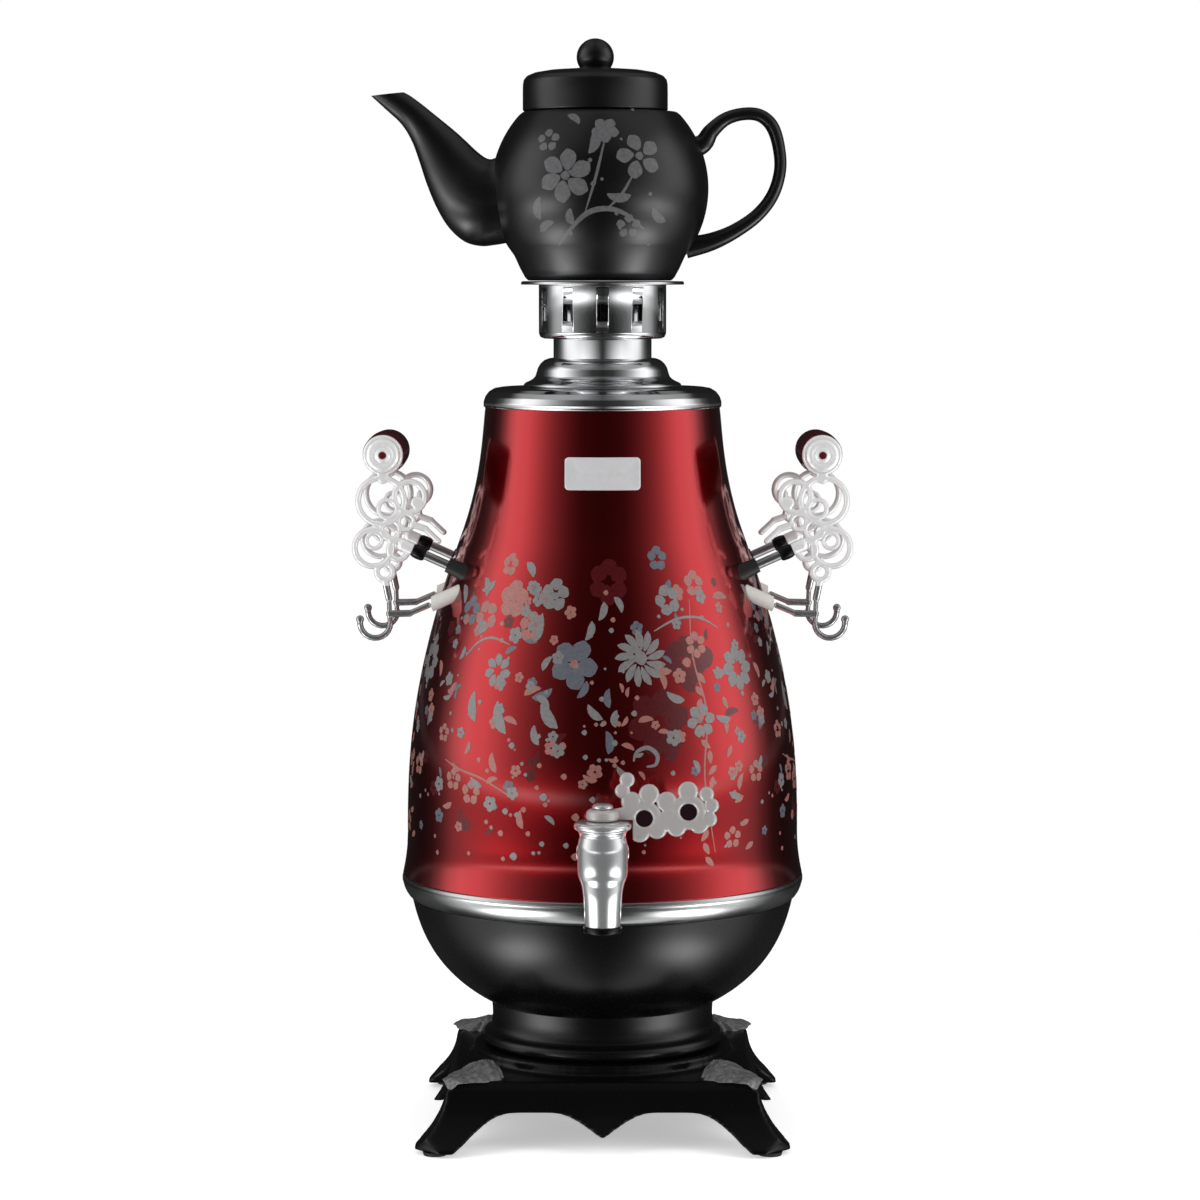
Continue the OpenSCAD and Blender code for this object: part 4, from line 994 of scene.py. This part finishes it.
pink_marks += [blade(60 + 3 * math.sin(z), z, 90 + 50 * math.cos(z * 2), -3, 4, 1.7)
               for z in range(160, 262, 7)]
pink_marks += [blade(84 + 9 * math.sin(z), z, 80 + 60 * math.cos(z), -3, 4, 1.6)
               for z in range(166, 250, 13)]
pink_marks += [stem([(60, 300), (57, 270), (62, 240), (58, 205), (64, 165)], 0.6),
               stem([(-100, 212), (-88, 208), (-70, 204), (-52, 196)], 0.6)]
rose_marks = [blade(52 + 0.3 * r * k, 266, 60 + 120 * k + r * 9, r, r + 5.4, 3.6, curl=60)
              for r in (3, 8) for k in range(3)]
rose_marks += flower(32, 236, 18, 6, 6.4, turn=15, heart=0.2)
rose_marks += flower(52, 268, 13, 7, 5, heart=0.3) + flower(4, 310, 12, 6, 4.6)


def strewn(count, across, up, sizes, draw=luck.uniform):
    """Dots strewn by chance, each range given as the two values that the draw takes."""
    places = draw(*across, count), draw(*up, count)
    return [dot(x, z, r) for x, z, r in zip(*places, luck.uniform(*sizes, count))]


dots = strewn(70, (-SPRAY_HALF, SPRAY_HALF), (158, 300), (0.6, 1.5))
dots += strewn(26, (-58, -8), (160, 232), (0.9, 2.2))
dots += strewn(24, (4, 9), (232, 20), (0.7, 1.7), draw=luck.normal)
for marks, blooms in ((grey_marks, 26), (blue_marks, 12), (pink_marks, 26), (rose_marks, 12)):
    places = luck.uniform(-SPRAY_HALF, SPRAY_HALF, blooms), luck.uniform(172, 316, blooms)
    for x, z, r, turn in zip(*places, luck.uniform(2.4, 4.8, blooms), luck.uniform(0, 72, blooms)):
        marks += flower(x, z, r, 5, 0.42 * r, turn=turn, heart=0.15)
    places = luck.uniform(-SPRAY_HALF, SPRAY_HALF, blooms), luck.uniform(176, 306, blooms)
    for x, z, long, turn in zip(*places, luck.uniform(5, 11, blooms), luck.uniform(0, 360, blooms)):
        marks.append(blade(x, z, turn, 0, long, 0.2 * long, curl=30))
grey_marks += dots[::2]
pink_marks += dots[1::2] + [dot(52, 267, 2.6), dot(-62, 300, 2), dot(-17, 267, 2.4)]
pale_inks = {"grey": (0.21, 0.2, 0.2), "blue": (0.12, 0.128, 0.155), "pink": (0.34, 0.14, 0.12)}
inks = {name: finish(f"{name}_ink", colour, metallic=0.35, roughness=0.42, grain=700, tone=0.35, coat=0.5)
        for name, colour in pale_inks.items()}
inks["rose"] = finish("rose_ink", (0.1, 0.004, 0.007), metallic=0.5, roughness=0.3, grain=700, tone=0.3,
                      coat=1)
for name, marks, lift in (("rose", rose_marks, 0.04), ("blue", blue_marks, 0.07), ("pink", pink_marks, 0.1),
                          ("grey", grey_marks, 0.13)):
    round_body = [(line + (k * math.tau * BELLY / 3, 0), half) for k in range(3) for line, half in marks]
    printed(f"print_{name}", round_body, on_belly, lift, inks[name], "root")


# ---- Print on the teapot -------------------------------------------------------------
# A looser spray in one grey ink under the glaze, on the front of the pot and again on its
# back.


def on_ball(side):
    """Turns flat points round the middle of the pot's front (-1) or back (1) into points of its ball."""
    def place(flat, lift):
        reach = np.maximum(np.hypot(flat[:, 0], flat[:, 1]), 1e-6)
        angle = reach / BALL
        r = BALL + lift
        return np.column_stack([POT_X + r * np.sin(angle) * flat[:, 0] / reach, side * r * np.cos(angle),
                                BALL_Z + r * np.sin(angle) * flat[:, 1] / reach])
    return place


pot_marks = flower(-19, 6, 15, 6, 4.6, turn=20, heart=0.2) + flower(22, 17, 13, 5, 4.2, turn=36, heart=0.25)
pot_marks += flower(-30, 27, 7, 5, 2.6) + flower(16, -22, 7, 5, 2.4)
pot_marks += flower(3, 32, 8, 5, 3.2, turn=54, heart=0.1)
pot_leaves = [(-6, 18, 60, 14, 3), (-34, -6, 250, 13, 2.8), (4, -4, -20, 13, 2.6), (-26, -20, 200, 11, 2.4),
              (30, -12, -60, 12, 2.6), (-12, 36, 120, 10, 2.2), (-16, -12, -100, 9, 2.4)]
pot_marks += [blade(x, z, turn, 0, long, wide, curl=34) for x, z, turn, long, wide in pot_leaves]
pot_marks += [stem([(-24, -34), (-15, -22), (-6, -14), (4, -12), (14, -15), (25, -24)], 1.5),
              stem([(-8, -14), (-3, 2), (0, 14), (3, 27)], 0.8), stem([(4, -12), (12, -4), (19, 8)], 0.8)]
pot_marks += [dot(-19, 6, 2.6), dot(22, 17, 2.4), dot(3, 32, 2)]
pot_marks += strewn(16, (0, 22), (4, 20), (0.7, 1.6), draw=luck.normal)
pot_ink = finish("pot_ink", (0.085, 0.085, 0.088), roughness=0.34, grain=500, tone=0.45)
for name, side in (("pot_print_front", -1), ("pot_print_back", 1)):
    printed(name, pot_marks, on_ball(side), 0.1, pot_ink, "teapot")


# ---- Table and light -----------------------------------------------------------------
# A pale table top that fades out round the samovar and keeps its shadow. Two tall soft
# boxes light it from both sides of the front, in a pale room.

TABLE_R, FADE_FROM, FADE_TO = 1200, 0.2, 0.75
WHITE = (1, 1, 1, 1)
TABLE_GLOW, ROOM_GLOW, BRIGHTEST = 0.42, 0.75, 6.5


def table_finish():
    """A matt pale top, clear from a radius outwards so that the room shows."""
    material = bpy.data.materials.new("table_top")
    material.use_nodes = True
    tree = material.node_tree
    place = tree.nodes.new("ShaderNodeTexCoord")
    reach = tree.nodes.new("ShaderNodeVectorMath")
    reach.operation = "LENGTH"
    fill(reach, {0: place.outputs["Object"]})
    fade = add(tree, "MapRange", {"Value": reach.outputs["Value"], "From Min": FADE_FROM,
                                  "From Max": FADE_TO, "To Min": 1, "To Max": 0})
    fade.interpolation_type = "SMOOTHSTEP"
    mottle = add(tree, "TexNoise", {"Scale": 8})
    tone = add(tree, "MapRange", {"Value": mottle.outputs["Fac"], "To Min": 0.93, "To Max": 0.97})
    fill(tree.nodes["Principled BSDF"], {
        "Base Color": tone.outputs["Result"], "Alpha": fade.outputs["Result"], "Roughness": 0.7,
        "Specular IOR Level": 0.2, "Emission Color": WHITE, "Emission Strength": TABLE_GLOW})
    return material


table_edge = [(TABLE_R * math.cos(a), TABLE_R * math.sin(a), 0) for a in np.arange(64) * math.tau / 64]
table = bpy.data.objects.new("table", mesh_from("table", table_edge, [tuple(range(64))]))
table.data.materials.append(table_finish())
scene.collection.objects.link(table)
table.visible_glossy = False


def room():
    """White to the eye and an even glow to matt things; to bright ones, soft boxes and dark screens.

    The soft boxes reach from low beside the table up to the height of the shoulders, where they
    stand further round to the sides. The way in front, where one looks from, is dark.
    """
    world = bpy.data.worlds.new("room")
    scene.world = world
    world.use_nodes = True
    tree = world.node_tree
    tree.nodes.clear()

    def worked_out(operation, *values):
        node = tree.nodes.new("ShaderNodeMath")
        node.operation = operation
        fill(node, dict(enumerate(values)))
        return node.outputs[0]

    place = tree.nodes.new("ShaderNodeTexCoord")
    axes = add(tree, "SeparateXYZ", {0: place.outputs["Generated"]})
    ahead = worked_out("MULTIPLY", axes.outputs["Y"], -1)
    away = worked_out("ARCTAN2", worked_out("ABSOLUTE", axes.outputs["X"]), ahead)
    turn = worked_out("DIVIDE", away, math.pi)

    def levels(*stops):
        """Brightness by the angle from the front, in degrees."""
        node = add(tree, "ValToRGB", {"Fac": turn})
        ramp = node.color_ramp.elements
        while len(ramp) < len(stops):
            ramp.new(0.5)
        for element, (angle, level) in zip(ramp, stops):
            element.position = angle / 180
            element.color = (*[level / BRIGHTEST] * 3, 1)
        return node.outputs["Color"]

    def between(low, high, below, above):
        """One set of levels below a height and another above it."""
        share = add(tree, "MapRange", {"Value": axes.outputs["Z"], "From Min": low, "From Max": high})
        share.interpolation_type = "SMOOTHSTEP"
        mix = tree.nodes.new("ShaderNodeMix")
        mix.data_type = "RGBA"
        fill(mix, {"Factor": share.outputs["Result"], "A": below, "B": above})
        return mix.outputs["Result"]

    ground = levels((0, 0.04), (15, 0.15), (30, 0.4), (50, 0.85), (60, 0.8), (75, 0.65), (90, 0.6),
                    (120, 0.1), (180, 0.02))
    low = levels((0, 0.02), (20, 0.06), (30, 0.4), (42, 2.2), (54, 5.4), (66, 6.5), (78, 4),
                 (90, 1.3), (102, 0.3), (115, 0.1), (135, 0.03), (180, 0.02))
    gap = levels((0, 0.02), (30, 0.08), (50, 0.35), (66, 0.65), (90, 0.85), (105, 0.4), (120, 0.08),
                 (180, 0.02))
    dip = levels((0, 0.01), (20, 0.02), (30, 0.05), (38, 0.09), (46, 0.15), (56, 0.25), (66, 0.36),
                 (76, 0.45), (88, 0.45), (98, 0.33), (108, 0.12), (118, 0.03), (130, 0.01), (180, 0.01))
    level = levels((0, 0.05), (5, 0.15), (13, 0.6), (23, 1.3), (32, 1.9), (45, 2.4), (55, 2),
                   (64, 1.7), (74, 1.3), (85, 0.9), (97, 0.5), (112, 0.2), (131, 0.06), (180, 0.02))
    side = levels((0, 0.02), (20, 0.04), (30, 0.1), (38, 0.18), (46, 0.3), (56, 0.52), (66, 0.85),
                  (76, 1.15), (90, 1.25), (100, 0.85), (108, 0.35), (118, 0.08), (130, 0.02), (180, 0.01))
    top = levels((0, 0.08), (20, 0.15), (45, 0.35), (90, 0.4), (180, 0.1))
    studio = ground
    for fades_in, full, zone in ((-0.85, -0.72, low), (-0.66, -0.58, gap), (-0.4, -0.28, low),
                                 (-0.25, -0.17, dip), (-0.055, -0.04, level), (-0.028, -0.018, side),
                                 (0.58, 0.7, top)):
        studio = between(fades_in, full, studio, zone)

    path = tree.nodes.new("ShaderNodeLightPath")
    shiny = worked_out("MAXIMUM", path.outputs["Is Glossy Ray"], path.outputs["Is Transmission Ray"])
    seen = add(tree, "Background", {"Color": WHITE})
    mirrored_room = add(tree, "Background", {"Color": studio, "Strength": BRIGHTEST})
    glow = add(tree, "Background", {"Color": WHITE, "Strength": ROOM_GLOW})
    by_gloss = add(tree, "MixShader", {0: shiny, 1: glow.outputs[0], 2: mirrored_room.outputs[0]})
    by_eye = add(tree, "MixShader", {0: path.outputs["Is Camera Ray"], 1: by_gloss.outputs[0],
                                     2: seen.outputs[0]})
    add(tree, "OutputWorld", {"Surface": by_eye.outputs[0]})


room()
for side in (-1, 1):
    glow = bpy.data.lights.new(f"soft_box_{side}", "AREA")
    glow.shape = "RECTANGLE"
    glow.size, glow.size_y = 0.7, 1.2
    glow.energy = 9
    lamp = bpy.data.objects.new(glow.name, glow)
    lamp.location = (side * 1.25, -0.75, 0.8)
    lamp.rotation_euler = (Vector((0, 0, 0.3)) - lamp.location).to_track_quat("-Z", "Y").to_euler()
    lamp.visible_glossy = False
    scene.collection.objects.link(lamp)


# ---- Last step -----------------------------------------------------------------------
# The view layer is brought up to date.

bpy.context.view_layer.update()
